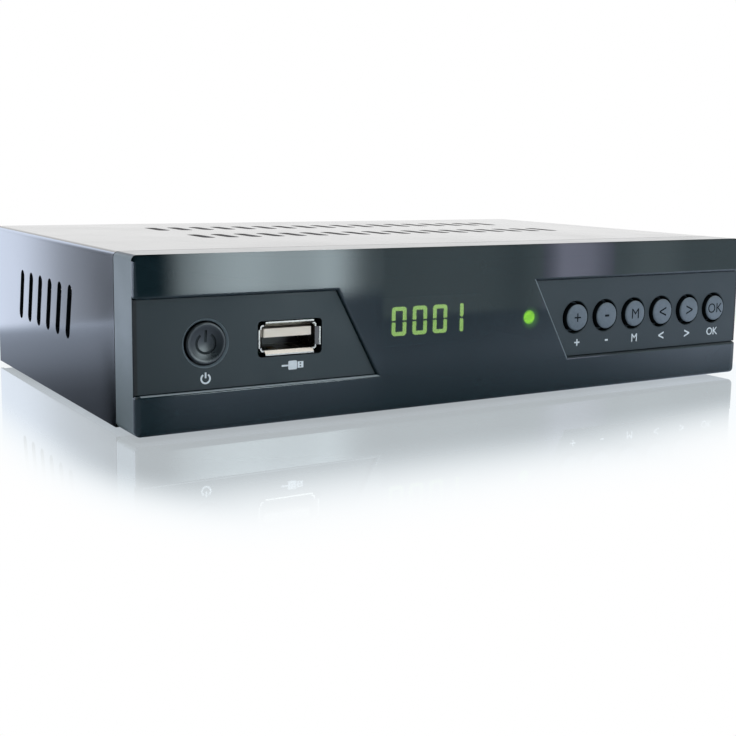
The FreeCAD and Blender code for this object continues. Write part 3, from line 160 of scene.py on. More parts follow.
def blend(tree: Tree, share: Source, first: str, second: str) -> Source:
    """Blend two colours.

    Args:
        tree: the material's nodes.
        share: how much of the second colour there is, from 0 to 1.
        first: an sRGB hex colour.
        second: another one.

    Returns:
        The blended colour.
    """
    node = add_node(tree, "Mix", {0: share, 6: linear(first), 7: linear(second)}, data_type="RGBA")
    return node.outputs[2]


def axis_distance(tree: Tree, place: Source, x: float, z: float) -> Source:
    """Measure the distance from an axis that runs along Y.

    Args:
        tree: the material's nodes.
        place: the object coordinates, in metres.
        x: the axis's X, in mm.
        z: the axis's Z, in mm.

    Returns:
        The distance, in metres.
    """
    away = (-x * MM, 0.0, -z * MM)
    flat = add_node(tree, "Mapping", {"Vector": place, "Location": away, "Scale": (1.0, 0.0, 1.0)})
    return add_node(tree, "VectorMath", {0: flat}, operation="LENGTH").outputs["Value"]


def seen_by(tree: Tree, *kinds: str) -> Source:
    """Tell whether a ray is one of some kinds.

    Args:
        tree: the nodes of a world or a material.
        kinds: outputs of the light path, such as Is Camera Ray.

    Returns:
        1 for a ray of these kinds and 0 for any other.
    """
    path = add_node(tree, "LightPath")
    found = path.outputs[kinds[0]]
    for kind in kinds[1:]:
        found = add_node(tree, "Math", {0: found, 1: path.outputs[kind]}, operation="MAXIMUM")
    return found


def shaded(tree: Tree, value: Source, stops: Sequence[tuple[float, Colour]]) -> Source:
    """Turn a value into a colour that runs from stop to stop.

    Args:
        tree: the nodes that the ramp goes into.
        value: the value that runs along the ramp.
        stops: places on the ramp, and the colour at each.

    Returns:
        The colour.
    """
    first, last = stops[0][0], stops[-1][0]
    share = add_node(tree, "MapRange", {"Value": value, "From Min": first, "From Max": last})
    ramp = add_node(tree, "ValToRGB", {"Fac": share})
    for _ in stops[2:]:
        ramp.color_ramp.elements.new(0.5)
    for element, (at, colour) in zip(ramp.color_ramp.elements, stops):
        element.position = (at - first) / (last - first)
        element.color = colour
    return ramp


def graded(tree: Tree, value: Source, stops: Stops, unit: float = MM) -> Source:
    """Turn a value into a level that runs from stop to stop.

    Args:
        tree: the nodes that the ramp goes into.
        value: the value that runs along the ramp.
        stops: places on the ramp, and the level at each.
        unit: what 1 stands for in the stops' places.

    Returns:
        The level.
    """
    peak = max(level for _, level in stops)
    greys = [(at * unit, (level / peak, level / peak, level / peak, 1.0)) for at, level in stops]
    return add_node(tree, "Math", {0: shaded(tree, value, greys), 1: peak}, operation="MULTIPLY")


# ---- Finishes ----
@dataclass(frozen=True)
class Finish:
    """A real material: a colour and a gloss that drift a little over the surface, and a grain pressed in."""

    name: str
    colour: str
    roughness: float
    other: str | None = None  # the colour that the drift leans to, where it isn't the same one
    patch_mm: float = 3.0  # how far apart the drifts lie, or 0 for none
    swing: float = 0.05  # how much the roughness rises and falls about its value
    grain_mm: float = 0.3  # the size of the grain
    depth_mm: float = 0.0  # how deep it is, or 0 for none
    detail: float = 2.0  # how much finer unevenness it carries
    run: Point = EVEN  # the patterns are stretched along the axis with the small number
    settings: Settings = ()  # more of the surface shader's sockets, and their values

    def material(self) -> bpy.types.Material:
        """Build the finish once, and give the same material each time it is asked for.

        Returns:
            The material.
        """
        found = bpy.data.materials.get(self.name)
        if found is not None:
            return found
        made = bpy.data.materials.new(self.name)
        tree = empty_tree(made)
        skin = {"Base Color": linear(self.colour), "Roughness": self.roughness, **dict(self.settings)}
        shader = add_node(tree, "BsdfPrincipled", skin)
        add_node(tree, "OutputMaterial", {"Surface": shader})
        self.dress(tree, shader, add_node(tree, "TexCoord").outputs["Object"])
        return made

    def dress(self, tree: Tree, shader: Node, place: Source) -> None:
        """Add the finish's patterns.

        Args:
            tree: the material's nodes.
            shader: its surface shader.
            place: the object coordinates, in metres.
        """
        if self.run != EVEN:
            place = add_node(tree, "Mapping", {"Vector": place, "Scale": self.run})
        if self.patch_mm:
            self.mottle(tree, shader, place)
        if self.depth_mm:
            pits = {"Vector": place, "Scale": per_metre(self.grain_mm), "Detail": self.detail}
            self.press(tree, shader, add_node(tree, "TexNoise", pits))

    def mottle(self, tree: Tree, shader: Node, place: Source) -> None:
        """Let the colour and the roughness drift a little over the surface.

        Args:
            tree: the material's nodes.
            shader: its surface shader.
            place: the coordinates of the pattern.
        """
        patches = {"Vector": place, "Scale": per_metre(self.patch_mm), "Detail": 3.0}
        drift = add_node(tree, "TexNoise", patches)
        ends = {"To Min": max(0.02, self.roughness - self.swing), "To Max": self.roughness + self.swing}
        rough = add_node(tree, "MapRange", {"Value": drift, "From Min": 0.3, "From Max": 0.7, **ends})
        colour = blend(tree, drift, self.colour, self.other or self.colour)
        feed(shader, {"Base Color": colour, "Roughness": rough})

    def press(self, tree: Tree, shader: Node, height: Source) -> None:
        """Press a pattern into the surface, as deep as the finish's grain.

        Args:
            tree: the material's nodes.
            shader: its surface shader.
            height: the pattern's heights, from 0 to 1.
        """
        relief = {"Height": height, "Distance": self.depth_mm * MM, "Strength": 1.0}
        feed(shader, {"Normal": add_node(tree, "Bump", relief)})


@dataclass(frozen=True)
class MouldedAbs(Finish):
    """ABS moulded against a spark-eroded steel face: a fine even grain that breaks up reflections."""

    other: str = "#23292d"
    patch_mm: float = 9.0
    swing: float = 0.04
    grain_mm: float = 0.35  # a real one is about 0.1 mm, drawn coarser so that it shows
    depth_mm: float = 0.006
    index: float = 1.53  # lower where a narrow gap traps the light

    def dress(self, tree: Tree, shader: Node, place: Source) -> None:
        """Add the eroded grain and the faint flow of the moulding."""
        super().dress(tree, feed(shader, {"IOR": self.index}), place)


@dataclass(frozen=True)
class ShadedAbs(MouldedAbs):
    """Matte ABS with painted shade at the ends of the case, where it turns away into the gap beside the
    plate.
    """

    margin: float = 83.15  # from the case's middle to where the shade starts, in mm
    blur: float = 0.3  # the width over which it comes in
    # painted shade: the colour that the ends of the case darken to
    shade: str = "#0a0e10"

    def dress(self, tree: Tree, shader: Node, place: Source) -> None:
        """Add the grain, then the painted shade over the colour.

        Args:
            tree: the material's nodes.
            shader: its surface shader.
            place: the object coordinates, in metres.
        """
        super().dress(tree, shader, place)
        x = add_node(tree, "SeparateXYZ", {0: add_node(tree, "VectorMath", {0: place}, operation="ABSOLUTE")})
        start, end = self.margin * MM, (self.margin + self.blur) * MM
        share = add_node(tree, "MapRange", {"Value": x, "From Min": start, "From Max": end})
        plain = shader.inputs["Base Color"].links[0].from_socket
        dark = add_node(tree, "Mix", {0: share, 6: plain, 7: linear(self.shade)}, data_type="RGBA")
        feed(shader, {"Base Color": dark.outputs[2]})


@dataclass(frozen=True)
class StoveEnamel(Finish):
    """Gloss enamel baked on steel sheet: a deep mirror with a clear top layer and a faint orange peel."""

    other: str = "#14171a"
    patch_mm: float = 26.0
    swing: float = 0.03
    grain_mm: float = 1.6
    depth_mm: float = 0.0012
    detail: float = 1.0
    settings: Settings = (("IOR", 1.52), ("Coat Weight", 0.5), ("Coat Roughness", 0.05))


@dataclass(frozen=True)
class SmokedAcrylic(Finish):
    """Cast acrylic tinted almost black: a clean hard gloss that lets a lit lamp behind it through."""

    other: str = "#1b2b30"
    patch_mm: float = 14.0
    swing: float = 0.004
    run: Point = (0.25, 1.0, 1.0)
    opacity: float = 0.86
    lamp_x: float = 13.3  # the middle of the standby lamp's light
    lamp_z: float = 19.6
    core: float = 0.6  # the lamp's light spreads in the plate from this radius
    reach: float = 3.3  # to this one
    glow: str = "#6cc22a"
    strength: float = 0.22

    def dress(self, tree: Tree, shader: Node, place: Source) -> None:
        """Let light through, paint the standby lamp's light as a glow of the plate's own around it, and add
        the faint wipe marks of a polished plate.

        Args:
            tree: the material's nodes.
            shader: its surface shader.
            place: the object coordinates, in metres.
        """
        feed(shader, {"IOR": 1.49, "Alpha": self.opacity, "Emission Color": linear(self.glow)})
        super().dress(tree, shader, place)
        # painted light: the plate glows by itself round the standby lamp, standing in for the lamp's light
        # spreading in it
        away = axis_distance(tree, place, self.lamp_x, self.lamp_z)
        ring = {"Value": away, "From Min": self.core * MM, "From Max": self.reach * MM}
        ends = {"To Min": self.strength, "To Max": 0.0}
        spread = add_node(tree, "MapRange", {**ring, **ends}, interpolation_type="SMOOTHERSTEP")
        feed(shader, {"Emission Strength": spread})


@dataclass(frozen=True)
class SquareEdge(SmokedAcrylic):
    """The rounding along the plate's top: it looks sharp, so it shades as a part of the plate's face."""

    def dress(self, tree: Tree, shader: Node, place: Source) -> None:
        """Add the plate's own look, then turn the shading to the front.

        Args:
            tree: the material's nodes.
            shader: its surface shader.
            place: the object coordinates, in metres.
        """
        super().dress(tree, shader, place)
        x, y, z = FRONTWARDS
        feed(shader, {"Normal": add_node(tree, "CombineXYZ", {"X": x, "Y": y, "Z": z})})


@dataclass(frozen=True)
class PlatedMetal(Finish):
    """Sheet or turned metal with a plated skin: a grey mirror drawn out along the rolling marks."""

    swing: float = 0.07
    grain_mm: float = 0.25
    depth_mm: float = 0.0008
    detail: float = 3.0
    run: Point = (0.05, 1.0, 1.0)
    settings: Settings = (("Metallic", 1.0),)


@dataclass(frozen=True)
class SpangledZinc(Finish):
    """Hot-dip galvanised sheet: large flat crystals, each with its own tone."""

    other: str = "#868c90"
    patch_mm: float = 0.0
    grain_mm: float = 0.4
    depth_mm: float = 0.002
    spangle_mm: float = 5.0
    settings: Settings = (("Metallic", 1.0),)

    def dress(self, tree: Tree, shader: Node, place: Source) -> None:
        """Add the crystals, in colour and in roughness, and the frosting over them.

        Args:
            tree: the material's nodes.
            shader: its surface shader.
            place: the object coordinates, in metres.
        """
        super().dress(tree, shader, place)
        crystals = add_node(tree, "TexVoronoi", {"Vector": place, "Scale": per_metre(self.spangle_mm)})
        tone = add_node(tree, "SeparateColor", {"Color": crystals.outputs["Color"]})
        ends = {"To Min": self.roughness - 0.08, "To Max": self.roughness + 0.1}
        rough = add_node(tree, "MapRange", {"Value": tone.outputs[1], **ends})
        feed(shader, {"Base Color": blend(tree, tone, self.colour, self.other), "Roughness": rough})


@dataclass(frozen=True)
class SolderMask(Finish):
    """Glass-epoxy board under solder mask: copper tracks show as lighter, slightly raised lines."""

    other: str = "#174a31"
    depth_mm: float = 0.02
    track: str = "#2f6b4a"
    pitch_mm: float = 2.54
    settings: Settings = (("IOR", 1.55),)

    def dress(self, tree: Tree, shader: Node, place: Source) -> None:
        """Add tracks that turn in right angles, and the tinted fields between them.

        Args:
            tree: the material's nodes.
            shader: its surface shader.
            place: the object coordinates, in metres.
        """
        tones = {"Color1": linear(self.colour), "Color2": linear(self.other), "Mortar": linear(self.track)}
        lines = {"Scale": per_metre(self.pitch_mm * 4), "Mortar Size": 0.035, "Mortar Smooth": 0.1}
        turns = {"offset": 0.37, "squash": 1.7, "squash_frequency": 3}
        cells = add_node(tree, "TexBrick", {"Vector": place, **lines, **tones}, **turns)
        self.press(tree, feed(shader, {"Base Color": cells}), cells.outputs["Fac"])


@dataclass(frozen=True)
class SoftRubber(Finish):
    """Moulded rubber: matt and dull, with a soft bloom at grazing angles."""

    other: str = "#2a2b2c"
    patch_mm: float = 4.0
    swing: float = 0.06
    grain_mm: float = 0.5
    depth_mm: float = 0.01
    settings: Settings = (("Sheen Weight", 0.25),)


@dataclass(frozen=True)
class NylonMoulding(Finish):
    """Glass-filled nylon or polyester, as in sockets and insulators: satin, faintly mottled."""

    other: str = "#1c1d1e"
    patch_mm: float = 3.5
    depth_mm: float = 0.003


@dataclass(frozen=True)
class PrintInk(Finish):
    """Pad-printed ink: thin, opaque and a little uneven."""

    other: str = "#c3cbd0"
    patch_mm: float = 0.8


@dataclass(frozen=True)
class LitPhosphor(Finish):
    """A lit cell of the display: a pale light, a little uneven from cell to cell."""

    patch_mm: float = 1.3
    detail: float = 1.0
    glow: str = "#b4e07a"
    deeper: str = "#9ccf62"
    strength: float = 4.0

    def dress(self, tree: Tree, shader: Node, place: Source) -> None:
        """Add the light.

        Args:
            tree: the material's nodes.
            shader: its surface shader.
            place: the object coordinates, in metres.
        """
        patches = {"Vector": place, "Scale": per_metre(self.patch_mm), "Detail": self.detail}
        light = blend(tree, add_node(tree, "TexNoise", patches), self.glow, self.deeper)
        feed(shader, {"Emission Strength": self.strength, "Emission Color": light})


@dataclass(frozen=True)
class LampGlow(Finish):
    """A clear rod with a lamp behind it: a green that gets paler outwards, and dark at its very rim."""

    axis_x: float = 0.0
    axis_z: float = 0.0
    radius: float = 1.7
    strength: float = 20.0

    def dress(self, tree: Tree, shader: Node, place: Source) -> None:
        """Add the light, by the distance from the rod's axis.

        Args:
            tree: the material's nodes.
            shader: its surface shader.
            place: the object coordinates, in metres.
        """
        away = axis_distance(tree, place, self.axis_x, self.axis_z)
        tones = ((0.0, "#74bd0c"), (0.5, "#7fc214"), (0.8, "#83c51f"), (1.0, "#2f6a10"))
        stops = [(share * self.radius * MM, linear(code)) for share, code in tones]
        light = shaded(tree, away, stops)
        feed(shader, {"Emission Strength": self.strength, "IOR": 1.49, "Emission Color": light})


ENAMEL = StoveEnamel("stove_enamel_black", "#10161a", 0.14)
ABS = MouldedAbs("moulded_abs_gloss", "#38434a", 0.38, other="#3b474e", depth_mm=0.002)
TOP_ABS = MouldedAbs("moulded_abs_polished", "#2b363c", 0.1, other="#2e3a41", depth_mm=0.0005)
# painted light: the bezel's ends, painted lighter than the rest of the moulding, as the light that falls on
# them
SIDE_LIT_ABS = MouldedAbs("moulded_abs_side_painted_light", "#5b6766", 0.38, other="#566260", depth_mm=0.002)
# the matt control zones, with painted shade at the case's ends
ZONE_ABS = ShadedAbs("moulded_abs_matt", "#1a2629", 0.5, other="#1d2a2e", index=1.44)
KEY_ABS = MouldedAbs("moulded_abs_key", "#46525a", 0.36, other="#5c6973", patch_mm=0.6)
# painted highlight: a lighter grey for edges that catch the light
RIM_HIGHLIGHT_ABS = MouldedAbs("moulded_abs_rim_painted_highlight", "#75838a", 0.4, other="#6b7980")
# painted highlight: a light grey for the plate's lower notch edges, where they catch the light
LEDGE_HIGHLIGHT = MouldedAbs("acrylic_edge_painted_highlight", "#798388", 0.34, other="#6e787c", depth_mm=0.0005)
# painted shade: a dark, dull finish for an edge of the plate that is in the shade
DIM_EDGE = MouldedAbs("acrylic_edge_painted_shade", "#171e21", 0.5, other="#1b2327", depth_mm=0.0005, index=1.25)
# painted shade: a darker, duller finish for the standby mark sunk in the power button, as the shade in its
# recess
MARK_SHADE_ABS = MouldedAbs("moulded_abs_mark_painted_shade", "#121a1d", 0.5, other="#182023", index=1.3)
BUTTON_ABS = MouldedAbs("moulded_abs_power", "#151d20", 0.3, other="#192226", depth_mm=0.003)
# painted shade: a near black matt finish with a low index, for walls and gaps that lie in shade
SHADE_ABS = MouldedAbs("moulded_abs_painted_shade", "#0c1012", 0.6, other="#0f1416", index=1.12)
# painted shade: a near black finish with a low index for the marks sunk in the keys, as the shade in their
# recesses
SYMBOL_SHADE_ABS = MouldedAbs("moulded_abs_symbol_painted_shade", "#0f1518", 0.5, other="#141b1f", index=1.12)
ACRYLIC = SmokedAcrylic("cast_acrylic_smoked", "#18292e", 0.045)
TOP_EDGE = SquareEdge("buffed_acrylic_edge", "#18292e", 0.045)
INK = PrintInk("pad_print_white", "#dfe8ec", 0.45)
ZINC = SpangledZinc("galvanised_sheet", "#a4aaae", 0.34)
CUT_EDGE = MouldedAbs("punched_sheet_edge", "#8c8684", 0.55, other="#827c7a", depth_mm=0.001)
RUBBER = SoftRubber("moulded_rubber", "#1c1d1e", 0.8)
NICKEL = PlatedMetal("nickel_plate", "#9d9992", 0.26)
BRASS_NICKEL = PlatedMetal("nickel_on_brass", "#cfc9ba", 0.22, run=(1.0, 0.1, 1.0))
TIN = PlatedMetal("tinned_sheet", "#c6c8c9", 0.3)
GOLD = PlatedMetal("gold_flash", "#d9b45c", 0.25, run=(1.0, 0.1, 1.0))
SCREW_STEEL = PlatedMetal("zinc_plated_screw", "#b9bcc0", 0.28, run=(1.0, 1.0, 1.0))
ALUMINIUM = PlatedMetal("extruded_aluminium", "#b4b7ba", 0.36, run=(1.0, 0.06, 1.0))
WHITE_NYLON = NylonMoulding("white_nylon", "#efe5d6", 0.38, other="#e6dac8")
# black nylon of the sockets and the board link, also used as painted shade deep in the USB socket
BLACK_NYLON_AND_SHADE = NylonMoulding("black_nylon_and_painted_shade", "#151617", 0.46)
ORANGE_NYLON = NylonMoulding("orange_nylon", "#d8721c", 0.42, other="#cc6516")
BLUE_SWITCH = NylonMoulding("switch_cap", "#2b2d30", 0.5, other="#33363a")
EPOXY = NylonMoulding("chip_epoxy", "#1d1f21", 0.55, other="#26282a")
CAN_SLEEVE = NylonMoulding("capacitor_sleeve", "#22252b", 0.33, other="#2b2f36")
MASK = SolderMask("solder_mask_green", "#1c5a3b", 0.34)
LIT = LitPhosphor("lit_segment", "#dfeecb", 0.5, strength=29.0)
UNLIT = NylonMoulding("unlit_segment", "#31403a", 0.5, other="#37463f")
DISPLAY_FACE = NylonMoulding("display_face", "#0c1011", 0.5, other="#101516")


# ---- Modelling tools ----
@dataclass(frozen=True)
class Pick:
    """Which faces or edges of a mesh an operator works on."""

    kind: str  # FACE or EDGE
    accept: Test  # asks a face's centre and normal, or an edge's two ends, in mm


def faces(accept: Test) -> Pick:
    """Pick faces by their centre and normal."""
    return Pick("FACE", accept)


def edges(accept: Test) -> Pick:
    """Pick edges by their two ends."""
    return Pick("EDGE", accept)


def facing(direction: Point, at: Callable[[Vector], bool] = lambda centre: True) -> Pick:
    """Pick the faces that look along a direction.

    Args:
        direction: a unit vector.
        at: a further test of a face's centre, in mm.

    Returns:
        The pick.
    """
    return faces(lambda centre, normal: normal.dot(Vector(direction)) > 0.99 and at(centre))


EVERY_FACE = faces(lambda c, n: True)
EVERY_EDGE = edges(lambda a, b: True)
NO_EDGE = edges(lambda a, b: False)
DEPTHWISE = edges(lambda a, b: abs(a.y - b.y) > 0.01)  # the edges that run from front to rear


class Along(Enum):
    """The way that a round primitive's own Z axis is turned."""

    FRONT = (math.pi / 2, 0.0, 0.0)  # its top looks to the front, along -Y
    REAR = (-math.pi / 2, 0.0, 0.0)  # its top looks to the rear, along +Y


class Mix(Enum):
    """What a second solid does to a first."""

    CUT = "DIFFERENCE"
    JOIN = "UNION"


def deselect() -> None:
    """Leave nothing selected, in object mode."""
    if bpy.context.object is not None and bpy.context.object.mode != "OBJECT":
        bpy.ops.object.mode_set(mode="OBJECT")
    bpy.ops.object.select_all(action="DESELECT")


class Workpiece:
    """A mesh that operators shape, and that is then fitted to a body of the frame."""

    def __init__(self, name: str, obj: bpy.types.Object) -> None:
        """Take over an object and put its place, turn and scale into its mesh.

        Args:
            name: the piece's name.
            obj: the object, which an operator has just added.
        """
        self.obj = obj
        obj.name = name
        obj.data.name = name
        self.settle()

    @classmethod
    def block(cls, name: str, low: Point, high: Point) -> Workpiece:
        """Add a block between two corners, in mm.

        Args:
            name: the piece's name.
            low: the corner with the lowest values.
            high: the corner with the highest ones.

        Returns:
            The new piece.
        """
        deselect()
        middle = [(a + b) / 2 * MM for a, b in zip(low, high)]
        size = [(b - a) * MM for a, b in zip(low, high)]
        bpy.ops.mesh.primitive_cube_add(size=1.0, location=middle, scale=size)
        return cls(name, bpy.context.active_object)

    @classmethod
    def bar(cls, name: str, x: float, z: float, half_x: float, half_z: float, ends: Pair) -> Workpiece:
        """Add a block about an axis along Y, by its half sizes and the Y of its two ends, in mm."""
        return cls.block(name, (x - half_x, ends[0], z - half_z), (x + half_x, ends[1], z + half_z))

    @classmethod
    def disc(
        cls,
        name: str,
        x: float,
        z: float,
        ends: Pair,
        radius: float,
        along: Along = Along.REAR,
        sides: int = 64,
        turn: float = 0.0,
    ) -> Workpiece:
        """Add a cylinder about an axis along Y.

        Args:
            name: the piece's name.
            x: the axis's X, in mm.
            z: the axis's Z, in mm.
            ends: the Y of its front end and of its rear end, in mm.
            radius: its radius, in mm.
            along: the way that it is turned.
            sides: how many sides it has.
            turn: how far it is turned about its axis, in radians.

        Returns:
            The new piece.
        """
        deselect()
        bpy.ops.mesh.primitive_cylinder_add(
            vertices=sides,
            radius=radius * MM,
            depth=(ends[1] - ends[0]) * MM,
            location=(x * MM, (ends[0] + ends[1]) / 2 * MM, z * MM),
            rotation=(along.value[0], turn, along.value[2]),
        )
        return cls(name, bpy.context.active_object)

    @classmethod
    def words(
        cls, name: str, text: str, height: float, middle: Point, depth: float, swell: float = 0.0
    ) -> Workpiece:
        """Add raised letters that look to the front.

        Args:
            name: the piece's name.
            text: the letters.
            height: the height of the letters, in mm.
            middle: the middle of the letters' back, in mm.
            depth: how far the letters stand out, in mm.
            swell: how much bolder than the font they are, as a share of the font's size.

        Returns:
            The new piece.
        """
        deselect()
        bpy.ops.object.text_add()
        obj = bpy.context.active_object
        obj.data.body = text
        obj.data.resolution_u = 6
        obj.data.offset = swell
        obj.data.extrude = 0.5
        bpy.ops.object.convert(target="MESH")
        obj = bpy.context.active_object
        low, high = (Vector([pick(along) for along in zip(*obj.bound_box)]) for pick in (min, max))
        grow = height * MM / (high.y - low.y)
        obj.data.transform(Matrix.Translation(-(low + high) / 2))
        obj.scale = (grow, grow, depth * MM / (high.z - low.z))
        obj.rotation_euler = Along.FRONT.value
        obj.location = Vector((middle[0], middle[1] - depth / 2, middle[2])) * MM
        return cls(name, obj)

    def twin(self, name: str, shift: Point) -> Workpiece:
        """Copy this piece with a mesh of its own.

        Args:
            name: the copy's name.
            shift: how far the copy is moved, in mm.

        Returns:
            The copy.
        """
        obj = self.obj.copy()
        obj.data = self.obj.data.copy()
        bpy.context.scene.collection.objects.link(obj)
        obj.location = Vector(shift) * MM
        return Workpiece(name, obj)

    def activate(self) -> None:
        """Select this piece alone."""
        deselect()
        self.obj.select_set(True)
        bpy.context.view_layer.objects.active = self.obj

    def settle(self) -> None:
        """Put the object's place, turn and scale into its mesh."""
        self.activate()
        bpy.ops.object.transform_apply(location=True, rotation=True, scale=True)

    def shape(self, pick: Pick, *actions: Action) -> Workpiece:
        """Run edit-mode operators on the elements that a pick accepts.

        Args:
            pick: which faces or edges are selected first.
            actions: the operators, in order. Each works on what the one before left selected.

        Returns:
            This piece.
        """
        self.activate()
        bpy.ops.object.mode_set(mode="EDIT")
        bpy.ops.mesh.select_mode(type=pick.kind)
        bpy.ops.mesh.select_all(action="DESELECT")
        mesh = bmesh.from_edit_mesh(self.obj.data)
        if pick.kind == "FACE":
            for face in mesh.faces:
                face.select_set(pick.accept(face.calc_center_median() / MM, face.normal))
        else:
            for edge in mesh.edges:
                edge.select_set(pick.accept(edge.verts[0].co / MM, edge.verts[1].co / MM))
        bmesh.update_edit_mesh(self.obj.data)
        for action in actions:
            action()
        bpy.ops.object.mode_set(mode="OBJECT")
        return self

    def modify(self, kind: str, **settings: object) -> Workpiece:
        """Add a modifier and apply it.

        Args:
            kind: Blender's identifier of the modifier.
            settings: its properties.

        Returns:
            This piece.
        """
        self.activate()
        modifier = self.obj.modifiers.new(kind.lower(), kind)
        for name, value in settings.items():
            setattr(modifier, name, value)
        bpy.ops.object.modifier_apply(modifier=modifier.name)
        return self

    def mix(self, tool: Workpiece, how: Mix) -> Workpiece:
        """Cut another piece from this one, or join it on, and use it up.

        Args:
            tool: the other piece.
            how: whether it is cut away or joined on.

        Returns:
            This piece.
        """
        self.modify("BOOLEAN", operation=how.value, object=tool.obj, solver="EXACT", material_mode="TRANSFER")
        bpy.data.objects.remove(tool.obj, do_unlink=True)
        return self

    def add(self, *others: Workpiece) -> Workpiece:
        """Put other pieces into this one's object, each still a closed form of its own.

        Args:
            others: the pieces that this one takes up.

        Returns:
            This piece.
        """
        self.activate()
        for other in others:
            other.obj.select_set(True)
        bpy.ops.object.join()
        return self

    def bevel(self, pick: Pick, width: float, segments: int = 3) -> Workpiece:
        """Round the picked edges by a width in mm."""
        size = {"offset": width * MM, "segments": segments}
        return self.shape(pick, lambda: bpy.ops.mesh.bevel(**size, affect="EDGES", clamp_overlap=True))

    def collars(self, direction: Point, steps: Sequence[Pair]) -> Workpiece:
        """Grow a turned piece from the end that looks along a direction.

        Args:
            direction: the unit vector along Y that the end looks along.
            steps: for each collar, its radius against the one before it, and its length in mm.

        Returns:
            This piece.
        """
        far = max((v.co.y * direction[1] for v in self.obj.data.vertices)) / MM
        push = bpy.ops.mesh.extrude_region_move
        actions: list[Action] = []
        for ratio, length in steps:
            actions.append(push)
            actions.append(lambda r=ratio: bpy.ops.transform.resize(value=(r, 1.0, r)))
            move = [d * length * MM for d in direction]
            actions.append(lambda m=move: push(TRANSFORM_OT_translate={"value": m}))
        return self.shape(facing(direction, lambda c: c.y * direction[1] > far - 0.001), *actions)

    def tidy(self) -> Workpiece:
        """Merge doubled corners and turn every face outwards.

        Returns:
            This piece.
        """
        return self.shape(
            EVERY_FACE,
            lambda: bpy.ops.mesh.remove_doubles(threshold=0.0005 * MM),
            lambda: bpy.ops.mesh.normals_make_consistent(inside=False),
        )

    def smooth(self, angle: float = 32.0) -> Workpiece:
        """Shade the piece smooth, except across its sharp edges.

        Args:
            angle: edges sharper than this stay sharp, in degrees.

        Returns:
            This piece.
        """
        self.activate()
        bpy.ops.object.shade_smooth_by_angle(angle=math.radians(angle))
        return self

    def wear(self, finish: Finish) -> Workpiece:
        """Give the piece one finish all over."""
        cover(self.obj, finish)
        return self

    def fit(self, body: str, slot: str, *nodes: str) -> Workpiece:
        """Make the piece ride on a body.

        Args:
            body: the body of the frame.
            slot: the record's material slot that the piece's finish belongs to; not used.
            nodes: the nodes that the piece stands for.

        Returns:
            This piece.
        """
        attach(self.obj, body)
        if nodes:
            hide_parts(*nodes)
        LOG.info("%s: %d faces, rides on %s", self.obj.name, len(self.obj.data.polygons), body)
        return self


def merge(name: str, pieces: Sequence[Workpiece]) -> Workpiece:
    """Put pieces into one object with a name, each still a closed form of its own.

    Args:
        name: the name of the whole.
        pieces: the pieces. The first one takes up the others.

    Returns:
        The whole.
    """
    whole = pieces[0].add(*pieces[1:])
    whole.obj.name = name
    return whole


def cover(obj: bpy.types.Object, finish: Finish) -> None:
    """Give an object one finish all over."""
    obj.data.materials.clear()
    obj.data.materials.append(finish.material())


def node_box(node: str) -> tuple[Vector, Vector]:
    """Give the lowest and highest corner of a node, in mm."""
    low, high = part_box(node)
    return low / MM, high / MM


def node_middle(node: str) -> Vector:
    """Give the middle of a node, in mm."""
    low, high = node_box(node)
    return (low + high) / 2


def dress_nodes(finish: Finish, *nodes: str) -> None:
    """Give nodes a finish.

    Args:
        finish: the finish.
        nodes: the nodes that get it all over.
    """
    for node in nodes:
        cover(bpy.data.objects[node], finish)
        LOG.info("%s: solid of the frame, %s", node, finish.name)


def dress_parts(name: str, *parts: tuple[Finish, Pick]) -> None:
    """Give some faces of a piece that has a finish already another one.

    Args:
        name: the node or the piece.
        parts: each further finish, and the faces that get it. A later one goes over the ones before.
    """
    mesh = bpy.data.objects[name].data
    for finish, pick in parts:
        mesh.materials.append(finish.material())
        picked = [face for face in mesh.polygons if pick.accept(face.center / MM, face.normal)]
        for face in picked:
            face.material_index = len(mesh.materials) - 1
        LOG.info("%s: %d faces of %s", name, len(picked), finish.name)


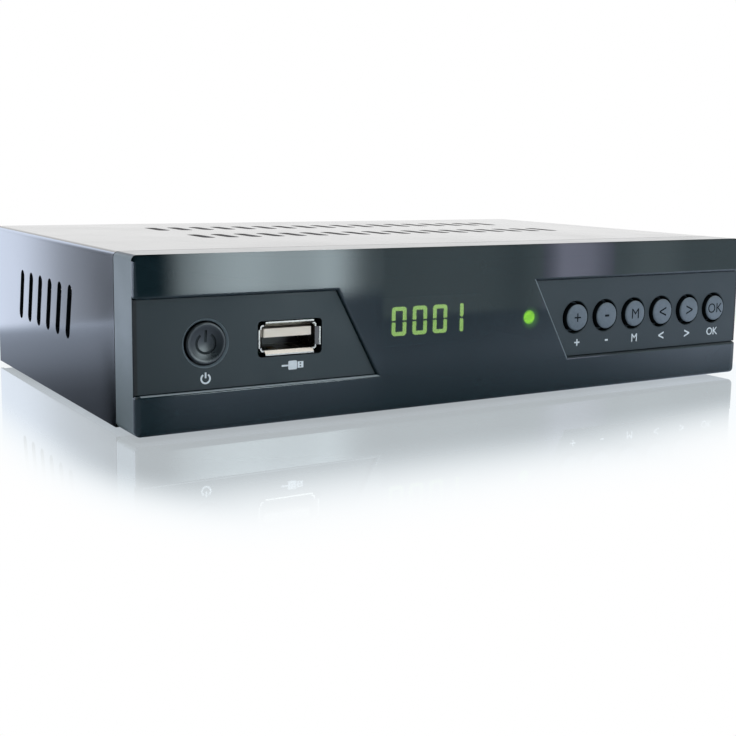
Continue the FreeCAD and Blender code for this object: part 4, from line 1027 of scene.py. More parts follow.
# ---- Sub-assemblies ----
@dataclass
class CaseShell:
    """The folded cover, the tray with the rear panel, the feet and the cover's screws."""

    front_limit: float = -45.4  # the cover's front edge lies before this Y
    slot_heights: Pair = (36.3, 36.95)  # the cut walls of the slots in the top lie between these heights
    slot_reach: Pair = (80.0, 44.0)  # and within these distances from the middle, along X and Y
    head_radius: float = 2.8
    head_height: float = 1.8
    shank_radius: float = 1.5
    recess_length: float = 3.1
    recess_width: float = 0.62
    recess_depth: float = 1.15

    def build(self) -> None:
        """Dress the sheet metal and model the screws."""
        dress_nodes(ENAMEL, "top_cover")
        (low, high), (far_x, far_y) = self.slot_heights, self.slot_reach
        walls = faces(
            lambda c, n: low < c.z < high and abs(c.x) < far_x and abs(c.y) < far_y and abs(n.z) < 0.5
        )
        # painted shade: the cover's front edge is painted dark, as the shade in its seam with the bezel
        front = facing(FRONTWARDS, lambda c: c.y < self.front_limit)
        dress_parts("top_cover", (SHADE_ABS, front), (CUT_EDGE, walls))
        dress_nodes(ZINC, "bottom_chassis")
        dress_nodes(RUBBER, "rubber_feet")
        dress_nodes(SCREW_STEEL, "front_board_screws", "main_board_screws")
        self.build_screws()

    def build_screws(self) -> None:
        """Model one pan-head screw with a cross recess, and place it in both holes."""
        low, high = node_box("cover_screws")
        x, z = high.x - self.head_radius, (low.z + high.z) / 2
        seat = high.y - self.head_height
        screw = Workpiece.disc("cover_screw_right", x, z, (seat, high.y), self.head_radius)
        screw.bevel(edges(lambda a, b: min(a.y, b.y) > high.y - 0.01), self.head_height * 0.42, 5)
        screw.collars(FRONTWARDS, [(self.shank_radius / self.head_radius, seat - low.y)])
        length, width = self.recess_length / 2, self.recess_width / 2
        for half_x, half_z in ((length, width), (width, length)):
            blade = Workpiece.bar("blade", x, z, half_x, half_z, (high.y - self.recess_depth, high.y + 0.5))
            blade.shape(facing(FRONTWARDS), lambda: bpy.ops.transform.resize(value=(0.6, 1.0, 0.6)))
            screw.mix(blade, Mix.CUT)
        screw.tidy().smooth().wear(SCREW_STEEL)
        other = screw.twin("cover_screw_left", (-2 * x, 0.0, 0.0))
        screw.fit(CASE_BODY, "screw_steel", "cover_screws")
        other.fit(CASE_BODY, "screw_steel")


class Glyph(Enum):
    """A generic mark: its letters, and its height on the panel in mm."""

    PLUS = ("+", 1.65)
    MINUS = ("-", 0.42)
    MENU = ("M", 2.0)
    LEFT = ("<", 1.9)
    RIGHT = (">", 1.9)
    OK = ("OK", 2.0)


@dataclass
class PowerMark:
    """The standby mark: a ring open at the top, with a bar in the opening."""

    name: str
    x: float
    z: float
    back: float
    radius: float
    stroke: float
    depth: float
    opening: float = 70.0  # degrees

    def solid(self) -> Workpiece:
        """Model the mark as a solid that looks to the front.

        Returns:
            The new piece.
        """
        start, half = math.radians(self.opening / 2), self.stroke / 2
        front, back = self.back - self.depth, self.back
        ring = Workpiece.bar(self.name, self.x, self.z + self.radius, 0.01, half, (front, back))
        middle = Vector((self.x, 0.0, self.z)) * MM
        centre = Matrix.Translation(middle)
        ring.obj.data.transform(centre @ Matrix.Rotation(start, 4, "Y") @ centre.inverted())
        sweep = {"steps": 40, "angle": math.tau - 2 * start, "center": middle, "axis": FRONTWARDS}
        side = facing((math.cos(start), 0.0, -math.sin(start)))
        ring.shape(side, lambda: bpy.ops.mesh.spin(**sweep))
        low, high = self.z + self.radius * 0.1, self.z + self.radius * 1.35
        bar = Workpiece.block("bar", (self.x - half, front, low), (self.x + half, back, high))
        return ring.tidy().add(bar)


@dataclass
class PushButton:
    """One button: a cap with its mark, a retaining flange and the stem behind it."""

    node: str
    body: str
    radius: float
    glyph: Glyph | None
    edge: float = 0.45
    cut: float = 0.14
    flange: float = 1.2  # its length
    stem_radius: float = 1.5
    growth: float = 1.25  # the sunk mark's size against the printed one's

    def build(self) -> None:
        """Model the button from its front face backwards and cut its mark."""
        low, high = node_box(self.node)
        middle, name = (low + high) / 2, self.node + "_cap"
        ends = (low.y, GUIDE_BACK)
        piece = Workpiece.disc(name, middle.x, middle.z, ends, self.radius, Along.FRONT, 96)
        piece.bevel(edges(lambda a, b: max(a.y, b.y) < low.y + 0.01), self.edge, 5)
        reach = (high.x - low.x) / 2
        stem = (self.stem_radius / reach, high.y - GUIDE_BACK - self.flange)
        piece.collars((0.0, 1.0, 0.0), [(reach / self.radius, self.flange), stem])
        self.mark(piece, middle, low.y)
        piece.tidy().smooth(28.0).fit(self.body, "button_plastic", self.node)
        # painted shade on the cap's side walls, its flange and its stem, which sit in the shade of the hole
        dress_parts(name, (SHADE_ABS, faces(lambda c, n: n.y > -0.45)))

    def mark(self, piece: Workpiece, middle: Vector, face: float) -> None:
        """Cut the button's mark into its face.

        Args:
            piece: the button.
            middle: its middle, in mm.
            face: the Y of its face, in mm.
        """
        piece.wear(KEY_ABS)
        if self.glyph is None:
            return
        text, height = self.glyph.value
        place = (middle.x, face + self.cut, middle.z)
        tool = Workpiece.words("mark", text, height * self.growth, place, self.cut * 2)
        # the sunk mark's faces take this painted shade
        piece.mix(tool.wear(SYMBOL_SHADE_ABS), Mix.CUT)


@dataclass
class PowerButton(PushButton):
    """The standby button, with a dished face and the standby mark sunk in it."""

    edge: float = 0.3
    dish: float = 0.6
    rings: int = 9

    def mark(self, piece: Workpiece, middle: Vector, face: float) -> None:
        """Dish the face ring by ring, then sink the standby mark into it.

        Args:
            piece: the button.
            middle: its middle, in mm.
            face: the Y of its face, in mm.
        """
        piece.wear(BUTTON_ABS)
        reach = self.radius - 2 * self.edge
        actions: list[Action] = [lambda: bpy.ops.mesh.inset(thickness=self.edge * MM)]
        step = reach / (self.rings + 0.5)
        depth = 0.0
        for i in range(1, self.rings + 1):
            share = i * step / reach
            drop = self.dish * (1 - (1 - share) ** 2) - depth
            depth += drop
            actions.append(lambda d=drop: bpy.ops.mesh.inset(thickness=step * MM, depth=-d * MM))
        piece.shape(facing(FRONTWARDS, lambda c: c.y < face + 0.01), *actions)
        back = face + self.dish * 0.8 + self.cut
        tool = PowerMark("mark", middle.x, middle.z, back, radius=2.0, stroke=0.52, depth=1.2).solid()
        # the sunk standby mark's faces take this painted shade
        piece.mix(tool.wear(MARK_SHADE_ABS), Mix.CUT)


@dataclass
class FrontPanel:
    """The moulded bezel, the smoked plate in front of it and the marks printed on the control zones."""

    zone_floor: float = FRONT_Y + 0.9
    wall: float = FRONT_Y + 1.6  # the bezel's wall behind the plate
    seam: float = FRONT_Y + 11.72  # the cover starts here
    plate_round: float = 1.25  # how far the rounding along the plate's top reaches down
    notch_top: float = 12.0  # the plate's lower edges at both notches lie below this height
    ink_depth: float = 0.03
    print_height: float = 12.65  # of the prints' middles, above the underside of the feet
    power_height: float = 11.7
    plug_height: float = 13.0
    power_nudge: float = -0.1  # how far this print sits right of its button
    plug_nudge: float = 0.6  # and this one right of the socket
    nudges: tuple[float, ...] = (0.75, 0.85, 0.7, 0.55, 0.3, 0.15)  # how far each print sits right of its key

    def build(self) -> None:
        """Dress the two mouldings and print the marks."""
        floor = self.zone_floor
        dress_nodes(ABS, "front_bezel")
        dress_parts(
            "front_bezel",
            # the two control zones, the strip above the plate, and painted light on the case's two ends
            (ZONE_ABS, faces(lambda c, n: n.y < -0.6 and c.y < floor + 0.5)),
            (TOP_ABS, facing((0.0, 0.0, 1.0), lambda c: c.z > 36.5)),
            (SIDE_LIT_ABS, faces(lambda c, n: abs(n.x) > 0.7 and abs(c.x) > 83.5)),
            # painted shade on the wall behind the plate, on what the cover hides, and on the insides of the
            # openings
            (SHADE_ABS, facing(FRONTWARDS, lambda c: abs(c.y - self.wall) < 0.05)),
            (SHADE_ABS, faces(lambda c, n: c.y > self.seam)),
            (SHADE_ABS, faces(lambda c, n: n.y > -0.5 and floor < c.y < GUIDE_BACK and c.z < 27.5)),
            # painted highlight on the chamfer round the power button
            (RIM_HIGHLIGHT_ABS, faces(lambda c, n: -0.9 < n.y < -0.5 and floor < c.y < FRONT_Y + 1.5 and c.x < -60.0)),
        )
        top = node_box("front_window")[1].z - self.plate_round
        low_edge = faces(
            lambda c, n: -0.9 < n.y < -0.2 and n.z > 0.55 and abs(n.x) < 0.1 and c.z < self.notch_top
        )
        dress_nodes(ACRYLIC, "front_window")
        dress_parts(
            "front_window",
            (TOP_EDGE, faces(lambda c, n: n.y < 0.2 and n.z > 0.02 and c.z > top)),
            # painted highlight on the notches' lower edges and on the right notch's slant, and painted shade
            # on the right notch's lower edge, which is in the shade
            (LEDGE_HIGHLIGHT, low_edge),
            (RIM_HIGHLIGHT_ABS, faces(lambda c, n: -0.95 < n.y < -0.2 and n.x > 0.2 and 15.0 < c.x < 70.0)),
            (DIM_EDGE, faces(lambda c, n: low_edge.accept(c, n) and c.x > 15.0)),
        )
        for key, glyph, nudge in zip(KEYS, Glyph, self.nudges):
            text, height = glyph.value
            place = (node_middle("key_" + key).x + nudge, floor, self.print_height)
            mark = Workpiece.words("print_" + key, text, height, place, self.ink_depth, swell=0.012)
            mark.wear(INK).fit(CASE_BODY, "button_plastic")
        x = node_middle("power_button").x + self.power_nudge
        place, depth = (x, self.power_height, floor), self.ink_depth
        mark = PowerMark("print_power", *place, radius=0.95, stroke=0.36, depth=depth)
        mark.solid().wear(INK).fit(CASE_BODY, "button_plastic")
        self.print_plug(node_middle("usb_shell").x + self.plug_nudge, self.plug_height)

    def print_plug(self, x: float, z: float) -> None:
        """Print a small plug: its lead, its grip and its metal end with two holes.

        Args:
            x: the mark's middle, in mm.
            z: the mark's middle height, in mm.
        """
        front, back = self.zone_floor - self.ink_depth, self.zone_floor
        lead = Workpiece.block("print_plug", (x - 2.6, front, z - 0.18), (x - 1.0, back, z + 0.18))
        grip = Workpiece.block("grip", (x - 1.05, front, z - 0.95), (x + 1.0, back, z + 0.95))
        grip.bevel(DEPTHWISE, 0.3, 4)
        end = Workpiece.block("end", (x + 1.15, front, z - 0.68), (x + 2.5, back, z + 0.68))
        for rise in (-0.3, 0.3):
            hole = Workpiece.bar("hole", x + 1.81, z + rise, 0.19, 0.15, (front - 0.1, back + 0.1))
            end.mix(hole, Mix.CUT)
        lead.add(grip, end).wear(INK).fit(CASE_BODY, "white_plastic")


@dataclass
class Keypad:
    """The standby button, the six keys, and the switches behind them."""

    power_radius: float = 4.3
    key_radius: float = 3.25

    def build(self) -> None:
        """Model the buttons and dress the switches."""
        PowerButton("power_button", "power_key", self.power_radius, None).build()
        for key, glyph in zip(KEYS, Glyph):
            PushButton("key_" + key, key + "_key", self.key_radius, glyph).build()
        names = ("power", *KEYS)
        dress_nodes(TIN, *("switch_" + name for name in names))
        dress_nodes(BLUE_SWITCH, *("plunger_" + name for name in names))


@dataclass
class UsbSocket:
    """The socket's steel sleeve with its sprung tongues, the white tongue and the contacts."""

    painted_shade_length: float = 4.0  # painted shade: how far forward from the tongue's rear its front faces are painted black, as the dark depth of the socket

    def build(self) -> None:
        """Dress the socket's pieces."""
        dress_nodes(NICKEL, "usb_shell")
        dress_nodes(WHITE_NYLON, "usb_tongue")
        # painted shade: the front faces of this rear part of the tongue are painted black, as the dark inside
        # of the socket
        block = node_box("usb_tongue")[1].y - self.painted_shade_length
        dress_parts("usb_tongue", (BLACK_NYLON_AND_SHADE, facing(FRONTWARDS, lambda c: c.y > block - 0.1)))
        dress_nodes(GOLD, "usb_contacts")


@dataclass
class Display:
    """The four-digit display, the standby lamp with its light rod, and the remote-control eye."""

    pitch: float = 5.51
    width: float = 3.75
    height: float = 6.5
    stroke: float = 0.86
    gap: float = 0.42
    corner: float = 0.75  # the rounding of a nought's outside
    hole_corner: float = 0.2  # and of its inside
    bar_corner: float = 0.3  # and of the upright bars
    last_shift: float = -0.95  # the one stands a little left of its place in the row

    def build(self) -> None:
        """Model the lit and unlit cells and dress the rest."""
        dress_nodes(DISPLAY_FACE, "display_module", "ir_receiver")
        low, high = node_box("display_segments")
        middle, ends = (low + high) / 2, (low.y, high.y)
        lit: list[Workpiece] = []
        dark: list[Workpiece] = []
        for i in range(3):
            x = middle.x + (i - 1.5) * self.pitch
            lit.append(self.nought(f"digit_{i}", x, middle.z, ends))
            dark.append(self.level(f"bar_{i}", x, middle.z, ends))
        x = middle.x + 1.5 * self.pitch + self.last_shift
        lit += self.uprights("one", x, middle.z, ends, 1)
        dark += self.uprights("off", x, middle.z, ends, -1)
        digits = merge("display_digits", lit)
        digits.smooth().wear(LIT).fit(CASE_BODY, "lit_segments", "display_segments")
        merge("display_unlit", dark).smooth().wear(UNLIT).fit(CASE_BODY, "black_plastic")
        lamp = node_middle("status_light_pipe")
        glow = LampGlow("lamp_glow", "#9cc07a", 0.3, axis_x=lamp.x, axis_z=lamp.z)
        dress_nodes(glow, "status_light_pipe", "status_led")

    def nought(self, name: str, x: float, z: float, ends: Pair) -> Workpiece:
        """Model a nought: a ring with round corners, parted on both sides at half height.

        Args:
            name: the piece's name.
            x: its middle, in mm.
            z: its middle height, in mm.
            ends: the Y of its front and of its rear, in mm.

        Returns:
            The new piece.
        """
        half_w, half_h = self.width / 2, self.height / 2
        past = (ends[0] - 1, ends[1] + 1)
        ring = Workpiece.bar(name, x, z, half_w, half_h, ends).bevel(DEPTHWISE, self.corner, 5)
        hole = Workpiece.bar("hole", x, z, half_w - self.stroke, half_h - self.stroke, past)
        ring.mix(hole.bevel(DEPTHWISE, self.hole_corner, 3), Mix.CUT)
        return ring.mix(Workpiece.bar("part", x, z, half_w + 1, self.gap / 2, past), Mix.CUT)

    def level(self, name: str, x: float, z: float, ends: Pair) -> Workpiece:
        """Model the middle bar, pointed at both ends.

        Args:
            name: the piece's name.
            x: its middle, in mm.
            z: its middle height, in mm.
            ends: the Y of its front and of its rear, in mm.

        Returns:
            The new piece.
        """
        half = self.stroke / 2
        bar = Workpiece.bar(name, x, z, self.width / 2 - self.stroke - 0.1, half, ends)
        return bar.bevel(DEPTHWISE, half * 0.9, 1)

    def uprights(self, name: str, x: float, z: float, ends: Pair, side: int) -> list[Workpiece]:
        """Model the two upright bars of one side of a digit.

        Args:
            name: the start of the bars' names.
            x: the digit's middle, in mm.
            z: its middle height, in mm.
            ends: the Y of its front and of its rear, in mm.
            side: 1 for its right side and -1 for its left one.

        Returns:
            The two bars.
        """
        middle = x + side * (self.width - self.stroke) / 2
        half, rise = (self.height - self.gap) / 4, (self.height + self.gap) / 4
        bars = []
        for up in (-1, 1):
            bar = Workpiece.bar(f"{name}_{up}", middle, z + up * rise, self.stroke / 2, half, ends)
            bars.append(bar.bevel(DEPTHWISE, self.bar_corner, 3))
        return bars


@dataclass
class RearSockets:
    """The sockets on the rear panel."""

    panel: float = 46.5  # the rear panel's outside
    seat: float = 2.0  # the length of the threaded sockets' hexagon
    flats: float = 11.0  # the width across its flats
    barrel_radius: float = 4.76  # over the thread
    bore_radius: float = 3.7
    thread_pitch: float = 0.79
    thread_depth: float = 0.42
    thread_margin: float = 0.7  # between the thread and the barrel's ends
    barrel_edge: float = 0.3
    hexagon_edge: float = 0.18
    hdmi_contacts: int = 10
    strip_margin: float = 2.1  # from the tongue's sides to the first and last contact strip
    strip_rise: float = 0.73  # from the tongue's middle height to the strips
    strip_size: Pair = (0.44, 0.06)  # their width and thickness
    strip_ends: Pair = (7.0, 0.4)  # how far before the tongue's tip they start and end
    strip_edge: float = 0.025

    def build(self) -> None:
        """Model the threaded sockets and dress the others."""
        dress_nodes(WHITE_NYLON, "f_insulators")
        dress_nodes(TIN, "tuner_can", "scart_contacts")
        dress_nodes(NICKEL, "hdmi_shell", "digital_jack_shell", "dc_pin")
        dress_nodes(BLACK_NYLON_AND_SHADE, "hdmi_tongue", "scart_socket", "dc_inlet")
        dress_nodes(ORANGE_NYLON, "digital_jack_core")
        for node in ("lnb_input", "lnb_output"):
            self.build_threaded(node)
        self.build_hdmi_contacts()

    def build_threaded(self, node: str) -> None:
        """Model a hexagonal seat and a barrel with a real helical thread.

        Args:
            node: the socket's node.
        """
        low, high = node_box(node)
        middle, radius = (low + high) / 2, self.barrel_radius
        x, z, seat = middle.x, middle.z, self.panel + self.seat
        barrel = Workpiece.disc(node + "_barrel", x, z, (self.panel, high.y), radius - self.thread_depth)
        barrel.bevel(edges(lambda a, b: min(a.y, b.y) > high.y - 0.01), self.barrel_edge, 2)
        start, end = seat + self.thread_margin, high.y - self.thread_margin
        barrel.mix(self.helix(node + "_thread", middle, start, end), Mix.JOIN)
        barrel.mix(Workpiece.disc("bore", x, z, (seat, high.y + 1), self.bore_radius), Mix.CUT)
        corner, turn = self.flats / math.sqrt(3), math.radians(30)
        hexagon = Workpiece.disc("hexagon", x, z, (self.panel, seat), corner, Along.REAR, 6, turn)
        hexagon.bevel(EVERY_EDGE, self.hexagon_edge, 2)
        rear = Workpiece.disc("rear", x, z, (low.y, self.panel + 0.1), radius)
        barrel.add(hexagon, rear).smooth(30.0).wear(BRASS_NICKEL).fit(CASE_BODY, "nickel_brass", node)

    def helix(self, name: str, middle: Vector, start: float, end: float) -> Workpiece:
        """Model a thread's ridge as a closed solid.

        Args:
            name: the piece's name.
            middle: the middle of the barrel, in mm.
            start: the Y of the first turn, in mm.
            end: the Y of the last turn, in mm.

        Returns:
            The new piece.
        """
        deselect()
        size = self.thread_pitch * 0.52
        bpy.ops.mesh.primitive_circle_add(vertices=3, radius=size * MM, fill_type="NOTHING")
        obj = bpy.context.active_object
        obj.rotation_euler = (math.pi / 2, 0.0, -math.pi / 2)
        ridge = Workpiece(name, obj)
        obj.scale = ((self.thread_depth + 0.15) / (1.5 * size), 1.0, 1.0)
        ridge.settle()
        if -min(v.co.x for v in obj.data.vertices) > max(v.co.x for v in obj.data.vertices):
            obj.rotation_euler = (0.0, 0.0, math.pi)
            ridge.settle()
        reach = max(v.co.x for v in obj.data.vertices)
        obj.location = (self.barrel_radius * MM - reach, 0.0, 0.0)
        ridge.settle()
        climb = {"screw_offset": self.thread_pitch * MM, "iterations": int((end - start) / self.thread_pitch)}
        steps = {"steps": 40, "render_steps": 40, "use_merge_vertices": False}
        ridge.modify("SCREW", axis="Z", angle=math.tau, **climb, **steps)
        ridge.shape(
            NO_EDGE,
            lambda: bpy.ops.mesh.select_non_manifold(extend=False, use_boundary=True, use_multi_face=False),
            lambda: bpy.ops.mesh.edge_face_add(),
        )
        obj.rotation_euler = Along.REAR.value
        obj.location = Vector((middle.x, start, middle.z)) * MM
        ridge.settle()
        return ridge.tidy()

    def build_hdmi_contacts(self) -> None:
        """Model one contact strip for each face of the tongue and lay copies of it in a row."""
        low, high = node_box("hdmi_tongue")
        z = node_middle("hdmi_shell").z
        start = low.x + self.strip_margin
        pitch = (high.x - low.x - 2 * self.strip_margin) / (self.hdmi_contacts - 1)
        half_x, half_z = self.strip_size[0] / 2, self.strip_size[1] / 2
        ends = (high.y - self.strip_ends[0], high.y - self.strip_ends[1])
        tip = edges(lambda a, b: abs(a.x - b.x) > 0.1 and max(a.y, b.y) > high.y - 0.5)
        strips: list[Workpiece] = []
        for side in (-1, 1):
            strip = Workpiece.bar(f"strip_{side}", start, z + side * self.strip_rise, half_x, half_z, ends)
            strips.append(strip.bevel(tip, self.strip_edge, 2))
            for i in range(1, self.hdmi_contacts):
                strips.append(strip.twin(f"strip_{side}_{i}", (i * pitch, 0.0, 0.0)))
        merge("hdmi_contacts", strips).smooth().wear(GOLD).fit(CASE_BODY, "gold_contact")


@dataclass
class Boards:
    """The two circuit boards and what they carry."""

    def build(self) -> None:
        """Dress the boards and their parts."""
        dress_nodes(MASK, "front_board", "main_board")
        dress_nodes(BLACK_NYLON_AND_SHADE, "board_link")
        dress_nodes(EPOXY, "main_processor", "memory_chip", "flash_chip", "inductors")
        dress_nodes(ALUMINIUM, "heatsink")
        dress_nodes(TIN, "crystal")
        dress_nodes(CAN_SLEEVE, "capacitors")


# ---- Studio ----
@dataclass
class Camera:
    """A pinhole camera, given by its place and the way that it looks."""

    place: Point = (-163.55, -277.95, 55.97)
    yaw: float = 32.475  # degrees from +Y towards +X
    pitch: float = -8.537
    roll: float = 1.037
    focal: float = 1196.4  # pixels
    middle: Pair = (400.0, 340.0)  # pixels
    frame: float = 736.0  # pixels

    def build(self) -> None:
        """Add the camera and make it the scene's."""
        yaw, pitch, roll = (math.radians(v) for v in (self.yaw, self.pitch, self.roll))
        ahead = Vector((math.sin(yaw) * math.cos(pitch), math.cos(yaw) * math.cos(pitch), math.sin(pitch)))
        right = Vector((math.cos(yaw), -math.sin(yaw), 0.0))
        up = right.cross(ahead)
        turned_right = math.cos(roll) * right + math.sin(roll) * up
        turned_up = -math.sin(roll) * right + math.cos(roll) * up
        data = bpy.data.cameras.new("camera")
        data.lens = self.focal / self.frame * data.sensor_width
        data.shift_x = (self.frame / 2 - self.middle[0]) / self.frame
        data.shift_y = (self.middle[1] - self.frame / 2) / self.frame
        data.clip_start, data.clip_end = 0.01, 50.0
        camera = bpy.data.objects.new("camera", data)
        matrix = Matrix((turned_right, turned_up, -ahead)).transposed().to_4x4()
        matrix.translation = Vector(self.place) * MM
        camera.matrix_world = matrix
        bpy.context.scene.collection.objects.link(camera)
        bpy.context.scene.camera = camera


@dataclass
class Lamp:
    """A soft rectangular lamp that lights matt surfaces. Reflections show the cards instead."""

    name: str
    place: Point
    aim: Point
    size: Pair
    radiance: float  # how bright the lamp's face is, where 1 is white
    colour: str = "#f7fbff"

    def build(self) -> None:
        """Add the lamp."""
        data = bpy.data.lights.new(self.name, "AREA")
        data.shape = "RECTANGLE"
        data.size, data.size_y = self.size[0] * MM, self.size[1] * MM
        data.color = linear(self.colour)[:3]
        data.energy = self.radiance * math.pi * data.size * data.size_y
        lamp = bpy.data.objects.new(self.name, data)
        lamp.location = Vector(self.place) * MM
        lamp.rotation_mode = "QUATERNION"
        lamp.rotation_quaternion = (Vector(self.aim) - Vector(self.place)).to_track_quat("-Z", "Y")
        lamp.visible_camera = False
        lamp.visible_glossy = False
        bpy.context.scene.collection.objects.link(lamp)


@dataclass
class Card:
    """A bright card that only reflections show, as a photographer sets beside a glossy object.

    Its radiance runs from stop to stop along X. 1 is white, and a stop may be brighter.
    """

    name: str
    low: Point  # two opposite corners, which agree in Y for a card that stands and in Z for one that lies
    high: Point
    stops: Stops  # places in mm, and the radiance at each
    colour: str = "#ffffff"
    rise: float = 0.0  # above the card's lower edge, how far it takes to gain its full brightness, in mm

    def build(self) -> None:
        """Add the card."""
        deselect()
        middle = [(a + b) / 2 * MM for a, b in zip(self.low, self.high)]
        size = [(b - a) * MM for a, b in zip(self.low, self.high)]
        lean = math.pi / 2 if size[1] == 0.0 else 0.0
        bpy.ops.mesh.primitive_plane_add(size=1.0, location=middle, rotation=(lean, 0.0, 0.0))
        card = bpy.context.active_object
        card.name = self.name
        bpy.ops.object.transform_apply(location=False, rotation=True, scale=False)
        card.scale = [length or 1.0 for length in size]
        bpy.ops.object.transform_apply(location=True, rotation=False, scale=True)
        card.visible_camera = card.visible_diffuse = card.visible_shadow = card.visible_transmission = False
        card.data.materials.append(self.light())

    def light(self) -> bpy.types.Material:
        """Build the card's light, from stop to stop.

        Returns:
            The material.
        """
        material = bpy.data.materials.new(self.name)
        tree = empty_tree(material)
        axes = add_node(tree, "SeparateXYZ", {0: add_node(tree, "TexCoord").outputs["Object"]})
        glow = {"Color": linear(self.colour), "Strength": graded(tree, axes, self.stops)}
        start = self.low[2] - 0.01
        end = start + self.rise + 0.005
        height = {"Value": axes.outputs[2], "From Min": start * MM, "From Max": end * MM}
        solid = add_node(tree, "MapRange", height, interpolation_type="SMOOTHSTEP")
        layers = {0: solid, 1: add_node(tree, "BsdfTransparent"), 2: add_node(tree, "Emission", glow)}
        add_node(tree, "OutputMaterial", {"Surface": add_node(tree, "MixShader", layers)})
        return material


@dataclass
class Studio:
    """A pale glossy table in a white room, with soft lamps and reflection cards."""

    ambient: float = 0.62
    floor_colour: str = "#e6e7e9"
    seen_colour: str = "#7c7e80"  # darker to the camera, by as much as its own light adds
    mirror_share: float = 0.5  # how much of the object the table mirrors right beside it
    mirror_even: float = 20.0  # how far from the object the mirroring stays so, in mm
    mirror_reach: float = 68.0  # where it has faded out
    mirror_roughness: float = 0.02
    lift: float = 0.83  # light of the table's own that the camera sees, so that its shadow stays soft
    sweep_start: float = 28.0  # how far from the object the table starts to turn white, in mm
    sweep_end: float = 78.0  # where it is all white
    half_width: float = 84.0  # the object's half sizes on the table
    half_depth: float = 57.5
    far_weight: float = 1.45  # how much more a length counts at the object's right end
    side_weight: float = 2.6  # how much more a length along X counts than one along Y
    fan_x: float = -163.5  # the point that the rays on the table before the object spread from
    fan_y: float = 163.0
    fan: Stops = (
        (0.376, 0.3), (0.40, 0.85), (0.44, 1.1), (0.56, 0.98), (0.60, 0.8), (0.625, 0.6),
        (0.72, 0.6), (0.80, 0.75), (0.88, 0.95), (0.95, 1.35), (1.0, 1.75), (1.06, 2.2),
    )  # fmt: skip
    before: Stops = ((-187.5, 1.2), (-120.5, 1.6), (-90.5, 1.0), (-70.5, 0.62), (-58.5, 0.4))
    seam_x: float = -4.45  # the point that the rays beside the case's seam spread from
    seam_y: float = 278.0
    seam: Stops = ((2.70, 4.6), (2.87, 4.4), (2.90, 0.0), (2.94, 0.05), (2.97, 0.6), (3.04, 1.0), (3.2, 1.0))
    beside: Stops = (
        (-60.0, 0.12), (-17.0, 0.18), (0.0, 0.23), (20.0, 0.35), (40.0, 0.52),
        (60.0, 0.65), (80.0, 0.74), (100.0, 0.9), (115.0, 1.4),
    )  # fmt: skip

    def build(self) -> None:
        """Set the room, the table, the lamps, the cards and the camera."""
        bpy.context.scene.view_settings.view_transform = "Standard"
        self.build_room()
        self.build_table()
        for item in (*self.lamps(), *self.cards()):
            item.build()
        Camera().build()

    def lamps(self) -> list[Lamp]:
        """Give the lamps of the room.

        Returns:
            The lamps.
        """
        return [
            Lamp("overhead", (-60.0, -160.0, 700.0), (0.0, 0.0, 0.0), (700.0, 600.0), 1.2),
            Lamp("right_window", (620.0, -420.0, 320.0), (0.0, -20.0, 20.0), (360.0, 420.0), 1.4),
        ]

    def cards(self) -> list[Card]:
        """Give the cards that the glossy faces mirror.

        Returns:
            The cards.
        """
        blue = "#dff0f6"
        left = (
            (-9.0, 0.0), (-7.0, 0.4), (-5.0, 1.3), (-3.0, 2.4), (0.0, 4.4), (3.0, 5.5), (6.0, 6.6),
            (9.0, 7.7), (12.0, 8.6), (18.5, 9.9), (23.0, 10.4), (28.0, 10.4), (33.0, 9.9), (38.0, 9.1),
            (43.0, 9.0), (50.0, 9.0), (55.0, 9.8), (59.0, 10.6), (62.5, 9.8), (66.0, 8.3), (69.5, 5.9),
            (73.0, 3.8), (76.5, 2.5), (80.0, 1.8), (90.0, 1.2),
        )  # fmt: skip
        right = (
            (54.0, 1.2), (77.0, 1.35), (99.0, 1.3), (113.0, 1.0), (124.0, 1.4), (134.0, 3.4), (147.0, 2.5),
            (157.0, 1.4), (166.0, 1.4), (177.0, 1.75), (189.0, 1.7), (202.0, 1.2), (620.0, 0.9),
        )  # fmt: skip
        lilac = ((124.0, 1.4), (129.0, 2.6), (134.0, 4.4), (147.0, 3.9), (153.0, 2.8), (160.0, 1.7))
        side = (
            (-330.0, 2.1), (-141.0, 2.1), (-138.7, 1.4), (-137.0, 0.0), (-135.0, 0.05), (-133.2, 0.4),
            (-131.0, 0.56), (-127.0, 0.7), (-123.0, 0.83), (-119.0, 1.06), (-116.0, 1.32), (-113.0, 1.63),
            (-110.0, 1.88), (-107.0, 2.1), (-104.0, 2.22), (-86.0, 2.25),
        )  # fmt: skip
        upper = (
            (-400.0, 0.0), (0.0, 0.0), (20.0, 0.4), (50.0, 2.0), (80.0, 4.0), (110.0, 4.4),
            (135.0, 1.2), (620.0, 0.9),
        )  # fmt: skip
        return [
            Card("front_left_card", (-1200.0, -240.0, 0.0), (90.0, -240.0, 70.0), left, blue, 9.0),
            Card("front_right_card", (54.0, -190.0, 0.0), (620.0, -190.0, 60.0), right, blue, 3.0),
            Card("lilac_card", (124.0, -189.0, 0.0), (160.0, -189.0, 60.0), lilac, "#dee0fb", 3.0),
            Card("side_card", (-330.0, 106.0, 0.0), (-86.0, 106.0, 200.0), side, "#dee9fd", 3.0),
            Card("upper_card", (-400.0, -240.0, 70.0), (620.0, -240.0, 420.0), upper, blue),
            Card("top_card", (20.0, -380.0, 420.0), (620.0, 120.0, 420.0), ((20.0, 2.6), (620.0, 2.6))),
        ]

